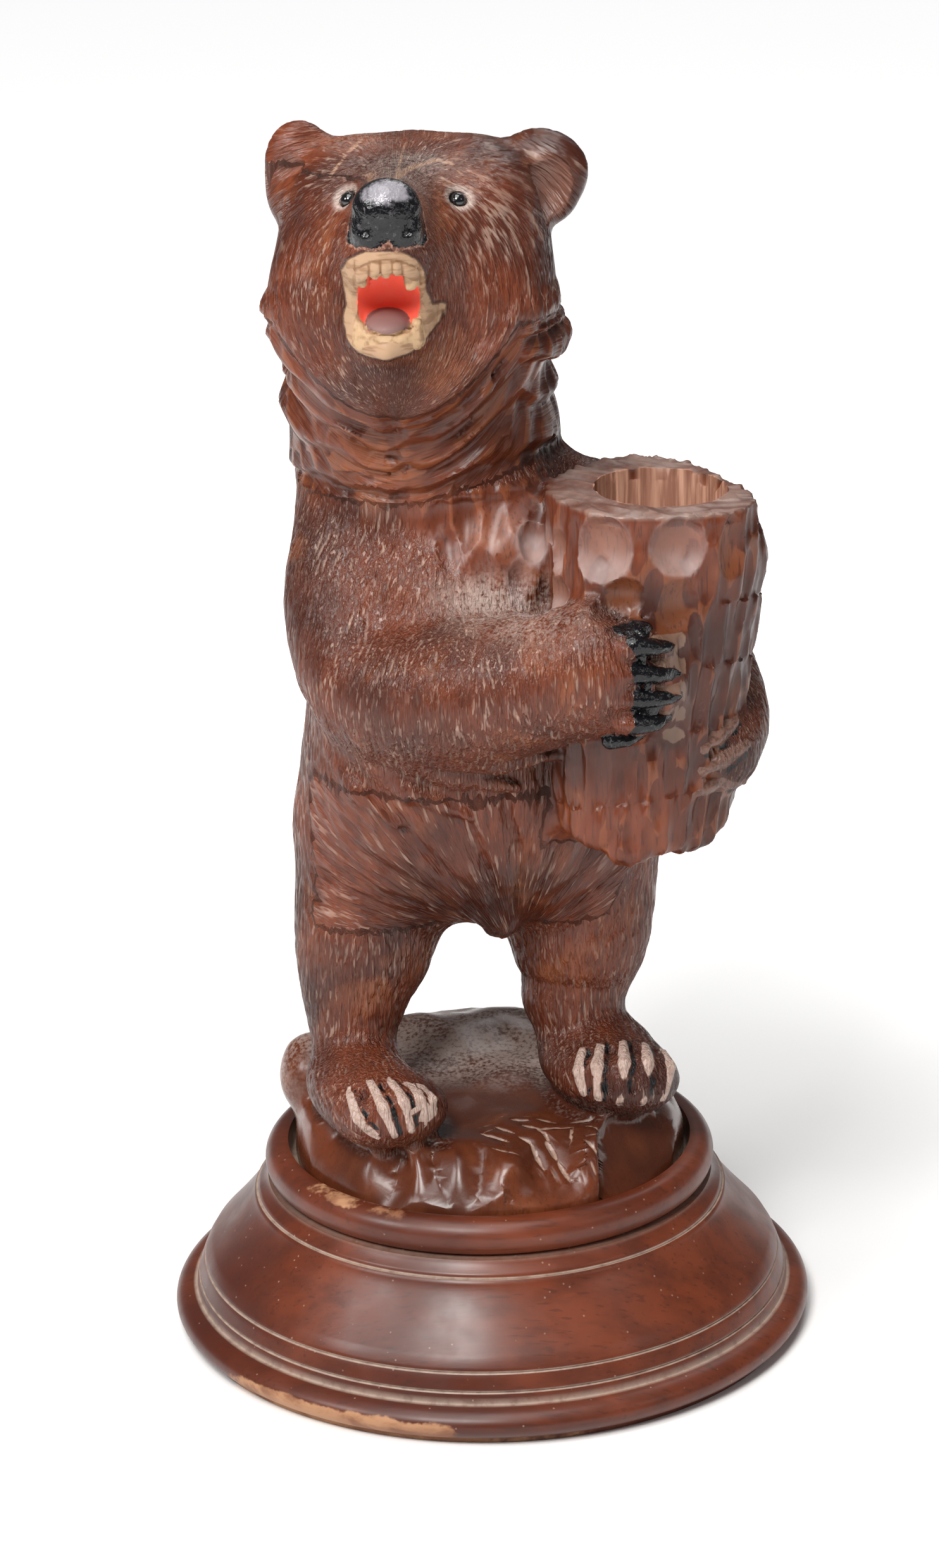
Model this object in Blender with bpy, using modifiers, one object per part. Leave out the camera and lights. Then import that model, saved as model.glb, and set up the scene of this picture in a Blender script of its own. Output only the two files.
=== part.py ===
"""A carved wooden bear hugging a hollow tree trunk, on its turned plinth.

Metres, +Z up. The origin is under the centre of the plinth and the bear looks towards -Y.
The carving is laid out in the carver's own units, UNITS_HIGH of them from the underside of the rock to
the ear tips, so the figure keeps its pose when FIGURE_HEIGHT changes. The bore, the eyes, the plinth and
what fits between the pieces are absolute sizes.
"""

import math

import bmesh
import bpy
import numpy as np
from mathutils import Euler, Matrix

# Figure
FIGURE_HEIGHT = 0.2915
UNITS_HIGH = 291.5
UNIT = FIGURE_HEIGHT / UNITS_HIGH

# Hollow trunk
BORE_RADIUS = 0.0173
BORE_DEPTH = 0.075
TRUNK_WALL = 0.0112

# Glass eyes
EYE_RADIUS = 0.0022
EYE_CLEARANCE = 0.0003

# Plinth
BASE_RADIUS = 0.0900
BASE_BEAD_HEIGHT = 0.0100
PLINTH_HEIGHT = 0.0524
RECESS_RADIUS = 0.0562
RECESS_DEPTH = 0.0064
RIM_WALL = 0.0070
TOP_BEAD_HEIGHT = 0.0105
GROOVE_DEPTH = 0.0006
COVE_BEND = 1.15
ROCK_CLEARANCE = 0.0009
SEAT_CLEARANCE = 0.0003
PLINTH_STEPS = 40

# Making
VOXEL = 1.5
CARVING_TRIANGLES = 7420
DETAIL_FACTOR = 0.008
EYE_RINGS = 6
SLICE = 6000
FAR = 1.0e3

SEAT_Z = PLINTH_HEIGHT - RECESS_DEPTH + SEAT_CLEARANCE


def turned(degrees):
    """Rotation matrix of three turns about X, Y and Z."""
    return np.array(Euler([math.radians(a) for a in degrees]).to_matrix())


def smooth_min(a, b, blend):
    """The lesser of two distances, rounded where they meet."""
    if blend <= 0:
        return np.minimum(a, b)
    h = np.clip(0.5 + 0.5 * (b - a) / blend, 0, 1)
    return b * (1 - h) + a * h - blend * h * (1 - h)


def smooth_max(a, b, blend):
    return -smooth_min(-a, -b, blend)


def hill(value, centre, width):
    """A smooth bump of height 1 at centre."""
    return np.exp(-(((value - centre) / width) ** 2))


def step(value, low, high):
    """Rises smoothly from 0 at low to 1 at high."""
    share = np.clip((value - low) / (high - low), 0, 1)
    return share * share * (3 - 2 * share)


class Ball:
    """An ellipsoid: centre, three radii and its turn in degrees."""

    def __init__(self, centre, radii, turn=(0, 0, 0)):
        self.centre = np.array(centre, float)
        self.radii = np.array(radii, float)
        self.axes = turned(turn)

    def box(self):
        reach = np.sqrt(((self.axes * self.radii) ** 2).sum(axis=1))
        return self.centre - reach, self.centre + reach

    def distance(self, points):
        local = (points - self.centre) @ self.axes
        scaled = np.linalg.norm(local / self.radii, axis=1)
        slope = np.linalg.norm(local / self.radii**2, axis=1)
        return scaled * (scaled - 1.0) / np.maximum(slope, 1e-9)

    def rough_out(self, mesh):
        turn = Matrix(self.axes.tolist()).to_4x4()
        matrix = Matrix.Translation(self.centre) @ turn @ Matrix.Diagonal((*self.radii, 1.0))
        bmesh.ops.create_icosphere(mesh, subdivisions=3, radius=1.0, matrix=matrix)


class Limb:
    """A tapering limb through stops (x, y, z, radius)."""

    def __init__(self, *stops):
        stops = np.array(stops, float)
        self.stops = stops if len(stops) < 4 else self.eased(stops)

    @staticmethod
    def eased(stops):
        """The stops with two more between each pair, along a smooth curve through them."""
        ends = np.vstack([2 * stops[0] - stops[1], stops, 2 * stops[-1] - stops[-2]])
        rows = [stops[0]]
        for a, b, c, d in zip(ends, ends[1:], ends[2:], ends[3:]):
            for t in (1 / 3, 2 / 3, 1.0):
                bend = (2 * a - 5 * b + 4 * c - d) * t**2 + (3 * b - a - 3 * c + d) * t**3
                rows.append(b + 0.5 * ((c - a) * t + bend))
        return np.array(rows)

    def box(self):
        at, radius = self.stops[:, :3], self.stops[:, 3:]
        return (at - radius).min(axis=0), (at + radius).max(axis=0)

    def distance(self, points):
        nearest = np.full(len(points), FAR)
        for start, end in zip(self.stops, self.stops[1:]):
            along = end[:3] - start[:3]
            share = np.clip((points - start[:3]) @ along / (along @ along), 0, 1)
            gap = np.linalg.norm(points - start[:3] - share[:, None] * along, axis=1)
            nearest = np.minimum(nearest, gap - start[3] - share * (end[3] - start[3]))
        return nearest

    def rough_out(self, mesh):
        for start, end in zip(self.stops, self.stops[1:]):
            spacing = 0.35 * max(1.2, min(start[3], end[3]))
            steps = max(2, int(np.linalg.norm(end[:3] - start[:3]) / spacing))
            for share in np.linspace(0, 1, steps + 1):
                at = start + share * (end - start)
                matrix = Matrix.Translation(at[:3])
                bmesh.ops.create_icosphere(mesh, subdivisions=2, radius=at[3], matrix=matrix)


class Block:
    """A chiselled boulder: a centre, and faces as (compass, tilt, reach), compass 0 being -Y."""

    def __init__(self, centre, *faces):
        self.centre = np.array(centre, float)
        across, up = np.radians([face[:2] for face in faces]).T
        self.normals = np.stack(
            [np.cos(up) * np.sin(across), -np.cos(up) * np.cos(across), np.sin(up)], axis=1
        )
        self.reaches = np.array([face[2] for face in faces], float)

    def box(self):
        reach = self.reaches.max() * 1.5
        return self.centre - reach, self.centre + reach

    def distance(self, points):
        return ((points - self.centre) @ self.normals.T - self.reaches).max(axis=1)

    def rough_out(self, mesh):
        matrix = Matrix.Translation(self.centre)
        bmesh.ops.create_icosphere(mesh, subdivisions=2, radius=self.reaches.mean() * 0.8, matrix=matrix)


class Trunk:
    """The hollow tree trunk: a leaning, hewn column with a ragged foot."""

    low = np.array([40.2, -25.5, 103.0])
    top = np.array([46.8, -21.5, 198.0])
    rim_lean = (-0.03, 0.047)
    taper = 3.8
    rows = 17.0
    columns = 7.2

    def box(self):
        reach = self.girth(0.0, 1.0) + 6
        low = np.minimum(self.low, self.top) - (reach, reach, 8)
        return low, np.maximum(self.low, self.top) + (reach, reach, 6)

    def girth(self, angle, share):
        """Radius at an angle and a share of the height, in units."""
        base = (BORE_RADIUS + TRUNK_WALL) / UNIT - self.taper * (1 - share)
        base = base + 1.1 * np.sin(3 * angle + 0.8 + 2.2 * share)
        base = base + 0.7 * np.sin(5 * angle + 2.0 - 3 * share)
        base = base - 7.5 * step(share, 0.87, 1.02) * hill(angle, 0.45, 0.65)
        base = base + 2.4 * hill(share, 0.8, 0.07) * hill(angle, 0.0, 0.5)
        return base + 1.8 * hill(share, 0.66, 0.16) * hill(angle, 0.1, 0.7)

    def hewn(self, angle, height):
        """Depth of the gouge strokes, laid in uneven rows up the trunk."""
        row = (height + 2.2 * np.sin(2.0 * angle + 0.5)) / self.rows
        shift = 0.43 * np.sin(7.3 * np.floor(row))
        across = np.mod(angle * 28.0 / self.columns + shift, 1.0) * 2 - 1
        along = np.mod(row, 1.0)
        calm = 1 - 0.75 * step(height, 160, 168) * hill(angle, -1.6, 0.6)
        return 1.25 * (1 - across**2) * (0.55 + 0.45 * np.sqrt(1 - along)) * calm

    def rim(self, points):
        """Height of the sloping rim over each point."""
        return self.top[2] + (points[:, :2] - self.top[:2]) @ self.rim_lean

    def distance(self, points):
        axis = self.top - self.low
        share = (points[:, 2] - self.low[2]) / axis[2]
        out = points - self.low - np.clip(share, -0.2, 1.2)[:, None] * axis
        angle = np.arctan2(out[:, 1], out[:, 0])
        side = np.hypot(out[:, 0], out[:, 1]) - self.girth(angle, np.clip(share, 0, 1))
        side = side + self.hewn(angle, points[:, 2]) - 0.6
        ragged = 2.4 * np.sin(2 * angle + 0.6) + 1.6 * np.sin(5 * angle + 1.2)
        shell = smooth_max(side, points[:, 2] - self.rim(points), 1.0)
        return smooth_max(shell, self.low[2] + 1.0 + ragged - points[:, 2], 6.0)

    def rough_out(self, mesh):
        matrix = Matrix.Translation((self.low + self.top) / 2)
        depth = self.top[2] - self.low[2]
        radius = self.girth(0.0, 0.5)
        bmesh.ops.create_cone(
            mesh, cap_ends=True, segments=48, radius1=radius - 1, radius2=radius, depth=depth, matrix=matrix
        )


class Rock:
    """The rocky ground, an uneven mound standing in the recess of the plinth."""

    radius = (RECESS_RADIUS - ROCK_CLEARANCE) / UNIT
    flare_from = (RECESS_DEPTH + 0.003) / UNIT
    chips = (
        (-46, 40, 46.8, -32.0, -19.5),
        (-4, 50, 43.0, -19.8, -8.4),
        (-30, 46, 41.4, -8.6, 2.0),
        (16, 54, 41.4, 3.6, 27.0),
        (46, 34, 49.0, 29.5, 54.0),
    )

    def __init__(self):
        self.cuts = [self.chip(*chip) for chip in self.chips]

    @staticmethod
    def chip(compass, tilt, reach, left, right):
        """A flat chisel cut across the shoulder that faces compass and tilt, between steep walls."""
        return Block((0, 0, 0), (compass + 180, -tilt, -reach), (-90, 0, -left), (90, 0, right))

    def box(self):
        return np.array([-64.0, -62.0, -4.0]), np.array([62.0, 62.0, 44.0])

    def top(self, x, y):
        high = 20.5 + 0.03 * y + 0.02 * x
        high = high + 5.5 * hill(x, -4, 30) * hill(y, 36, 13)
        high = high - 11.0 * np.clip((x - 33) / 22, 0, 1) ** 1.6
        front = np.hypot(x, y) * step(-y, 5, 25)
        high = high - 12.0 * np.clip((front - 45) / 10, 0, 1) ** 1.5
        return high + 0.9 * np.sin(0.21 * x + 0.4) * np.sin(0.19 * y)

    def distance(self, points):
        x, y, z = points.T
        angle = np.arctan2(y, x)
        edge = self.radius - 0.6 + 0.5 * np.sin(5 * angle + 0.4) + 0.3 * np.sin(11 * angle)
        edge = np.minimum(edge, self.radius) - 0.15 * np.clip(z - self.flare_from, 0, 40)
        mound = smooth_max(np.hypot(x, y) - edge, (z - self.top(x, y)) * 0.9, 4.0)
        for cut in self.cuts:
            mound = np.maximum(mound, -cut.distance(points))
        return np.maximum(mound, -z)

    def rough_out(self, mesh):
        matrix = Matrix.Translation((0, 0, 10))
        bmesh.ops.create_cone(
            mesh,
            cap_ends=True,
            segments=64,
            radius1=self.radius - 1,
            radius2=self.radius - 4,
            depth=20,
            matrix=matrix,
        )


def body_masses():
    """Hips, belly, chest and hump, each as a shape and how far it blends into the ones before it."""
    return [
        (Ball((-1, 7, 103), (48.5, 38, 34)), 0),
        (Ball((-4, -1, 124), (43.5, 39, 36)), 14),
        (Ball((-8, 2, 158), (39, 37, 40)), 14),
        (Ball((-13, 19, 188), (35.5, 34, 36)), 14),
        (Ball((12, -9, 177), (20, 21, 21)), 9),
        (Limb((10, 14, 188, 14), (33, 12, 184.5, 12)), 8),
        (Limb((-3, -18, 98, 16), (4.5, -16, 75.5, 5.5)), 5),
    ]


def head_masses():
    return [
        (Ball((-14.5, 7, 218), (36.4, 37, 33)), 14),
        (Ball((-14.5, 1, 252), (36, 37, 36)), 10),
        (Ball((-32, -4, 270), (16.5, 25, 17)), 7),
        (Ball((3.5, -4, 269.5), (16, 25, 17)), 7),
        (Ball((-37, -16, 246), (16, 20, 22)), 8),
        (Ball((4.0, -14, 246), (16.5, 20, 22)), 8),
        (Ball((-18, -18, 230), (27, 25, 18)), 7),
        (Ball((6.5, -2, 235.5), (19.8, 24, 9.5)), 5),
    ]


def muzzle_masses():
    return [
        (Limb((-17.5, -20, 262, 20), (-20.8, -46.5, 265.0, 12.0)), 9),
        (Limb((-17.5, -22, 273, 12), (-20.8, -49, 274.8, 8.6)), 4),
        (Limb((-18.5, -20, 244, 17), (-21.2, -41, 246.5, 11.8)), 8),
        (Ball((-20.7, -52.6, 277.8), (8.6, 7.2, 7.5)), 1.5),
        (Ball((-25.6, -54.0, 272.6), (4.0, 4.4, 4.8)), 1.5),
        (Ball((-16.0, -54.0, 272.6), (4.0, 4.4, 4.8)), 1.5),
        (Limb((-30.0, -47.5, 261.5, 2.6), (-21.6, -55.0, 265.4, 3.0), (-13.0, -47.5, 261.5, 2.6)), 1.2),
        (Limb((-29.5, -46.0, 243.5, 2.8), (-21.6, -50.6, 241.8, 3.2), (-13.6, -46.0, 244.0, 2.8)), 1.2),
        (Limb((-20, -36, 239, 10), (-20.3, -37, 227, 4.5)), 4),
    ]


def ears():
    return [
        (Ball((-43.6, 0, 279.6), (9.7, 6.3, 12.2), (0, -10, 20)), 4),
        (Ball((-45.8, -1, 273.2), (7.0, 6.0, 8.6), (0, 6, 20)), 3),
        (Ball((19.6, 0, 279.0), (11.8, 6.3, 9.2), (0, 12, -20)), 4),
        (Ball((20.6, -1, 273.0), (8.6, 6.0, 10.4), (0, 28, -20)), 3),
    ]


def leg_masses():
    left = ((-31, 6, 92, 20.5), (-32.7, 2, 68, 20.2), (-35.5, -1, 55, 16.5), (-37.0, -4, 44, 13.0))
    right = ((26.5, 12, 90, 23), (26.3, 8, 66, 20.5), (26.0, 7, 55, 16.5), (24, 4, 46, 14.2))
    return [
        (Limb(*left), 10),
        (Limb(*right), 10),
        (Ball((-35, -20, 29), (14.5, 25, 11.5), (0, 0, 14)), 7),
        (Ball((-26.5, -33, 27.5), (15.5, 13.5, 10.0), (0, 0, 10)), 5),
        (Ball((31, -5, 30), (16.5, 23, 11.5), (0, 0, 10)), 7),
        (Ball((37.5, -16, 28), (15.5, 13, 10.0), (0, 0, -6)), 5),
    ]


def arm_masses():
    right = ((-30.8, 2, 183, 17.5), (-34.5, -10, 164, 17.5), (-27, -23, 146, 19), (-8, -35, 146, 20))
    right_end = ((14, -43, 151, 18), (27, -46, 156.0, 17.2))
    left = ((12, 14, 180, 20), (36, 22, 160, 18), (58, 12, 142, 15), (65, -12, 132, 12.8))
    left_end = (62.5, -27, 127, 11.8)
    knuckles = [(Ball((37.5, -54.5, z), (4.8, 6.5, 3.6)), 1.5) for z in (164.2, 157.6, 151.0, 144.4)]
    return [
        (Limb(*right, *right_end), 6),
        (Ball((30.5, -46, 156.3), (11.5, 15.5, 18.6)), 4),
        (Limb(*left, left_end), 6),
        *knuckles,
    ]


def ground_masses():
    return [
        (Trunk(), 3),
        (Rock(), 3),
        (Ball((-50.0, 9, 20.5), (9.2, 13, 12.0)), 3),
    ]


def union_of(shapes, points):
    """Signed distance to a blended row of shapes."""
    depth = np.full(len(points), FAR)
    for shape, blend in shapes:
        low, high = shape.box()
        reach = 12.0 + blend
        near = np.flatnonzero(((points > low - reach) & (points < high + reach)).all(axis=1))
        if len(near):
            depth[near] = smooth_min(depth[near], shape.distance(points[near]), blend)
    return depth


def on_skin(x, y, z, lift=0.0, small=0.02):
    """The point of the masses' skin nearest x, y, z, raised outwards by lift."""
    at = np.array([[x, y, z]], float)
    for _ in range(12):
        depth = union_of(MASSES, at)
        out = np.array([union_of(MASSES, at + shift)[0] - depth[0] for shift in np.eye(3) * small])
        out /= max(np.linalg.norm(out), 1e-6)
        at = at - depth[0] * out
    return at[0] + lift * out


def fringe():
    """Long pointed locks of fur that lie along the underside of the forearm, from root to tip."""
    rows = (
        ((-39, -18, 127), (-21, -32, 110), 5.5),
        ((-32, -28, 128), (-3, -37, 113.5), 6.5),
        ((-21, -37, 131), (9, -38, 121), 6.5),
        ((-9, -43, 134), (17.5, -42, 128), 5.5),
    )
    locks = []
    for root, tip, width in rows:
        root, tip = np.array(root, float), np.array(tip, float)
        top = on_skin(*root, lift=0.5 - width)
        middle = on_skin(*(root * 0.5 + tip * 0.5), lift=2.8 - width * 0.8)
        low = on_skin(*tip, lift=0.2)
        locks.append((Limb((*top, width), (*middle, width * 0.8), (*low, 1.5)), 0.8))
    return locks


def row_of(count, first, last):
    """Evenly spaced points from first to last."""
    return [np.array(first) + (np.array(last) - first) * i / (count - 1) for i in range(count)]


def between(points):
    """The points halfway between neighbours."""
    return [(first + second) / 2 for first, second in zip(points, points[1:])]


def claw(root, bend, tip, width, blend=0.4):
    """A claw that stands proud of the paw and narrows to its tip."""
    return Limb((*root, width), (*bend, width * 0.72), (*tip, width * 0.25)), blend


def laid_claw(root, tip, width, proud):
    """A lens-shaped claw laid in a paw from root to tip, its middle standing proud."""
    middle = on_skin(*((root + tip) / 2), lift=proud - width)
    ends = [on_skin(*end, lift=0.4 * (proud - width)) for end in (root, tip)]
    return Limb((*ends[0], width * 0.5), (*middle, width), (*ends[1], width * 0.5)), 0.4


FOOT_CLAWS = (
    ((-36.5, -37, 33.5), (-17.6, -36, 38.7), (-30.0, -46, 24.7), (-11.9, -44, 27.7), 1.6),
    ((25.6, -20, 39.0), (48.4, -15, 35.5), (25.2, -28, 28.0), (46.8, -24, 26.2), 1.8),
)


def foot_claws():
    claws = []
    for *ends, width in FOOT_CLAWS:
        roots, tips = row_of(5, *ends[:2]), row_of(5, *ends[2:])
        claws += [laid_claw(root, tip, width, 2.0) for root, tip in zip(roots, tips)]
    return claws


def claw_gaps():
    """The hollows scooped between neighbouring claws of the feet."""
    gaps = []
    for *ends, width in FOOT_CLAWS:
        roots, tips = between(row_of(5, *ends[:2])), between(row_of(5, *ends[2:]))
        for root, tip in zip(roots, tips):
            stops = [on_skin(*(root + (tip - root) * share), lift=0.3) for share in (0.2, 0.8)]
            gaps.append((Limb(*((*stop, width * 0.8) for stop in stops)), 0.3))
    return gaps


def paw_claws():
    """The right paw's claws over the face of the trunk, and the left paw's round its far side."""
    claws = []
    rows = ((165.0, 163.0, 51.0), (157.8, 155.4, 53.2), (150.8, 149.4, 53.2), (144.0, 143.4, 50.4))
    for high, low, reach in rows:
        claws.append(claw((39.5, -57.5, high), (45, -56.0, (high + low) / 2), (reach, -51.3, low), 2.9))
    claws.append(claw((33.5, -54, 138.6), (38, -53.5, 138.4), (42.5, -52, 139.4), 2.4))
    claws.append(claw((37, -56, 171.0), (40.5, -55, 170.4), (44, -52.5, 168.6), 3.2, 0.8))
    roots = row_of(3, (67.3, -34, 137.0), (67.0, -30, 121.6))
    tips = row_of(3, (58.6, -44, 132.2), (57.2, -43, 120.2))
    claws += [laid_claw(root, tip, 2.6, 1.4) for root, tip in zip(roots, tips)]
    return claws


def teeth():
    """Upper pegs with one big canine, then the lower fangs and the gum between them."""
    pegs = (
        ((-27.0, -51.0, 263.2, 2.0), (-27.2, -52.2, 259.3, 1.4)),
        ((-23.9, -54.0, 263.5, 1.7), (-23.9, -54.4, 261.7, 1.4)),
        ((-21.1, -54.8, 263.7, 1.6), (-21.1, -55.2, 262.0, 1.3)),
        ((-18.4, -54.2, 263.7, 1.5), (-18.4, -54.6, 262.4, 1.2)),
        ((-15.2, -51.8, 262.8, 2.3), (-15.3, -53.0, 259.0, 1.9)),
        ((-28.0, -48.5, 243.5, 2.0), (-28.2, -49.8, 248.6, 1.1)),
        ((-14.2, -48.5, 243.5, 2.0), (-13.8, -50.2, 249.4, 1.1)),
        ((-25.0, -51.0, 244.8, 1.5), (-17.6, -51.0, 244.8, 1.5)),
    )
    return [(Limb(*peg), 0.3) for peg in pegs]


def tongue():
    return [(Ball((-21.4, -45.5, 247.6), (5.6, 7.5, 2.6), (8, 0, 0)), 0.4)]


def hollows():
    """What is cut away after the masses are joined: ear cups, eye sockets, nostrils and scooped gouges."""
    cuts = [
        (Ball((-45.4, -8.8, 277.0), (4.4, 4.8, 8.4), (0, -12, 20)), 0.8),
        (Ball((20.6, -9.4, 274.0), (7.4, 5.4, 9.4), (0, 24, -20)), 0.8),
        (Ball((-26.3, -59.2, 273.4), (1.6, 2.4, 2.0)), 0.5),
        (Ball((-15.3, -59.2, 273.4), (1.6, 2.4, 2.0)), 0.5),
    ]
    cuts += claw_gaps()
    for eye in EYES:
        cuts.append((Ball(on_skin(*eye, lift=2.4), (4.4, 4.0, 3.9)), 1.5))
    for x, y, z, across, high, depth in (
        (32.0, -47.0, 188.0, 8.8, 8.6, 4.2),
        (51.5, -48.0, 188.5, 7.5, 7.8, 3.4),
        (21.3, -35.0, 184.5, 3.4, 6.5, 2.4),
        (14.4, -28.0, 186.0, 3.6, 6.5, 2.4),
        (20.0, -38.0, 172.5, 4.4, 5.0, 2.2),
        (11.0, -32.0, 176.0, 3.0, 6.0, 1.8),
        (36.0, -50.0, 175.0, 6.5, 5.0, 2.2),
        (52.0, -50.0, 172.5, 6.0, 7.0, 2.2),
        (65.0, -42.0, 186.0, 4.5, 9.0, 1.8),
    ):
        cuts.append(scoop(x, y, z, across, high, depth))
    return cuts


def scoop(x, y, z, across, high, depth):
    """A shallow round gouge in the front of the trunk or the chest."""
    thick = 6.0
    wide = 1 / math.sqrt(1 - (1 - depth / thick) ** 2)
    middle = on_skin(x, y, z, lift=thick - depth)
    out = middle - on_skin(x, y, z)
    compass = math.degrees(math.atan2(out[0], -out[1]))
    return Ball(middle, (across * wide, thick, high * wide), (0, 0, compass)), 0.3


EYES = ((-33.4, -31.0, 278.8), (-1.6, -31.0, 278.3))
MOUTH = Ball((-20.9, -54, 253.4), (8.9, 14.5, 9.0))
MASSES = body_masses() + head_masses() + muzzle_masses() + ears()
MASSES += leg_masses() + arm_masses() + ground_masses()
ADDED = fringe() + foot_claws() + paw_claws()
IN_MOUTH = teeth() + tongue()
HOLLOWS = hollows()


def neck_folds(points):
    """Overlapping ruffs of fur round the neck: V-shaped in front under the jaw, level by the collar."""
    x, y, z = points.T
    side = np.minimum(np.where(y < 4, np.abs(x + 20.0), 32.0), 32.0) ** 2
    drop = 222.5 + 0.0215 * side - z
    bend = 0.0195 * side
    share = 2 * drop / (26.5 + np.sqrt(np.maximum(26.5**2 + 4 * bend * drop, 1.0)))
    wave = 0.16 * np.sin(0.17 * x + 0.9) + 0.10 * np.sin(0.33 * x - 0.21 * z + 1.0)
    phase = share * 4.0 + (wave + 0.4 * step(x, -23, -17)) * step(share, 0.0, 0.25)
    part = np.mod(phase, 1.0)
    ruff = part * (1 - step(part, 0.8, 1.0)) * 3.6 - 1.4
    face_edge = 2.2 * step(share, -0.35, -0.02) * (1 - step(share, 0.0, 0.035))
    reach = step(share, 0.0, 0.03) * (1 - step(share, 1.0, 1.06))
    around = np.hypot(x + 14.5, y - 4)
    keep = step(z, 186, 194) * (1 - step(around, 44, 50)) * (1 - step(x, 20, 27))
    back = 1 - 0.75 * step(y, 2, 22)
    return (ruff * reach * (0.8 + 0.2 * np.sin(0.23 * x + 2.0)) + face_edge) * keep * back


def belly_locks(points):
    """Long furrows of fur that sweep down the belly to the tuft between the legs."""
    x, y, z = points.T
    aim = np.arctan2(x - 8.5, np.maximum(z - 66.0, 1.0))
    reach = np.hypot(x - 8.5, z - 66.0)
    furrow = np.abs(np.sin(aim * 11.0 + 0.5 * np.sin(reach * 0.16)))
    keep = step(reach, 8, 18) * (1 - step(reach, 46, 60))
    keep = keep * (1 - step(y, -14, -6)) * (1 - step(np.abs(aim), 0.9, 1.15))
    return (furrow**0.7 - 0.6) * 2.0 * keep


def carve(points):
    """Signed distance in units from each point to the surface of the carving, negative inside."""
    depth = union_of(MASSES, points) - neck_folds(points) - belly_locks(points)

    def work(shapes, sign):
        for shape, blend in shapes:
            low, high = shape.box()
            reach = 12.0 + blend
            near = np.flatnonzero(((points > low - reach) & (points < high + reach)).all(axis=1))
            if len(near):
                depth[near] = sign * smooth_min(sign * depth[near], shape.distance(points[near]), blend)

    work(ADDED, 1)
    work([(MOUTH, 0.8)], -1)
    work(IN_MOUTH, 1)
    work(HOLLOWS, -1)
    return depth


def settle(points, rounds=5, most=3.0, offset=0.05):
    """Moves points down the slope of carve onto the carving, in slices of points that lie close together."""
    points = points.copy()
    order = np.argsort(points[:, 2], kind="stable")
    for rows in np.array_split(order, 1 + len(points) // SLICE):
        part = points[rows]
        for _ in range(rounds):
            depth = carve(part)
            lean = np.stack([(carve(part + shift) - depth) / offset for shift in np.eye(3) * offset], axis=1)
            move = np.clip(depth, -most, most) / np.maximum((lean**2).sum(axis=1), 0.4)
            part = part - move[:, None] * lean
        points[rows] = part
    return points


def new_object(name, mesh, collection):
    made = bpy.data.objects.new(name, mesh)
    collection.objects.link(made)
    return made


def evaluated_mesh(made):
    graph = bpy.context.evaluated_depsgraph_get()
    return bpy.data.meshes.new_from_object(made.evaluated_get(graph))


def rough_mesh(name, shapes):
    """One mesh of overlapping primitives, one for each mass."""
    solid = bmesh.new()
    for shape, _ in shapes:
        shape.rough_out(solid)
    mesh = bpy.data.meshes.new(name)
    solid.to_mesh(mesh)
    solid.free()
    return mesh


def remesh(made, name, voxel):
    skin = made.modifiers.new(name, "REMESH")
    skin.mode = "VOXEL"
    skin.voxel_size = voxel


def boolean(made, name, operation, other):
    cut = made.modifiers.new(name, "BOOLEAN")
    cut.operation = operation
    cut.object = other


def carved_mesh(voxel):
    """Roughs out the masses, makes them one skin and settles it onto the carving."""
    shop = bpy.context.scene.collection
    rough = new_object("roughed_out", rough_mesh("roughed_out", MASSES + ADDED), shop)
    waste = new_object("waste", rough_mesh("waste", [(MOUTH, 0)]), shop)
    inner = new_object("in_mouth", rough_mesh("in_mouth", IN_MOUTH), shop)
    remesh(inner, "one_skin", voxel * 0.5)
    remesh(rough, "one_skin", voxel)
    boolean(rough, "open_mouth", "DIFFERENCE", waste)
    boolean(rough, "fill_mouth", "UNION", inner)
    remesh(rough, "even", voxel)
    mesh = evaluated_mesh(rough)
    for done in (rough, waste, inner):
        bpy.data.objects.remove(done)
    set_points(mesh, settle(get_points(mesh)))
    return mesh


def make_material(name, colour, roughness, coat=0.0):
    material = bpy.data.materials.new(name)
    material.use_nodes = True
    shader = material.node_tree.nodes["Principled BSDF"]
    shader.inputs["Base Color"].default_value = (*colour, 1.0)
    shader.inputs["Roughness"].default_value = roughness
    shader.inputs["Coat Weight"].default_value = coat
    return material


def make_cutter(name, mesh, cutters, location):
    made = new_object(name, mesh, cutters)
    made.location = location
    made.hide_render = True
    made.display_type = "WIRE"
    return made


def mesh_of(name, solid):
    mesh = bpy.data.meshes.new(name)
    solid.to_mesh(mesh)
    solid.free()
    return mesh


def sphere_mesh(name, radius, rings):
    solid = bmesh.new()
    bmesh.ops.create_uvsphere(solid, u_segments=rings * 2, v_segments=rings, radius=radius)
    mesh = mesh_of(name, solid)
    mesh.shade_smooth()
    return mesh


def cylinder(solid, radius, low, high, segments):
    matrix = Matrix.Translation((0, 0, (low + high) / 2))
    depth = high - low
    bmesh.ops.create_cone(
        solid, cap_ends=True, segments=segments, radius1=radius, radius2=radius, depth=depth, matrix=matrix
    )


def bore_mesh():
    """The cutter of the trunk's bore, running well past the rim."""
    solid = bmesh.new()
    cylinder(solid, BORE_RADIUS, -BORE_DEPTH, 0.02, 32)
    return mesh_of("bore", solid)


def bedded(points):
    """Points of the rock brought back inside the recess of the plinth, with the underside made flat."""
    points = points.copy()
    points[points[:, 2] < 0.6, 2] = 0.0
    limit = Rock.radius + 0.8 * np.clip(points[:, 2] - RECESS_DEPTH / UNIT - 0.4, 0, None)
    reach = np.hypot(points[:, 0], points[:, 1])
    points[:, :2] *= np.minimum(1, limit / np.maximum(reach, 1e-6))[:, None]
    return points


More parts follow.
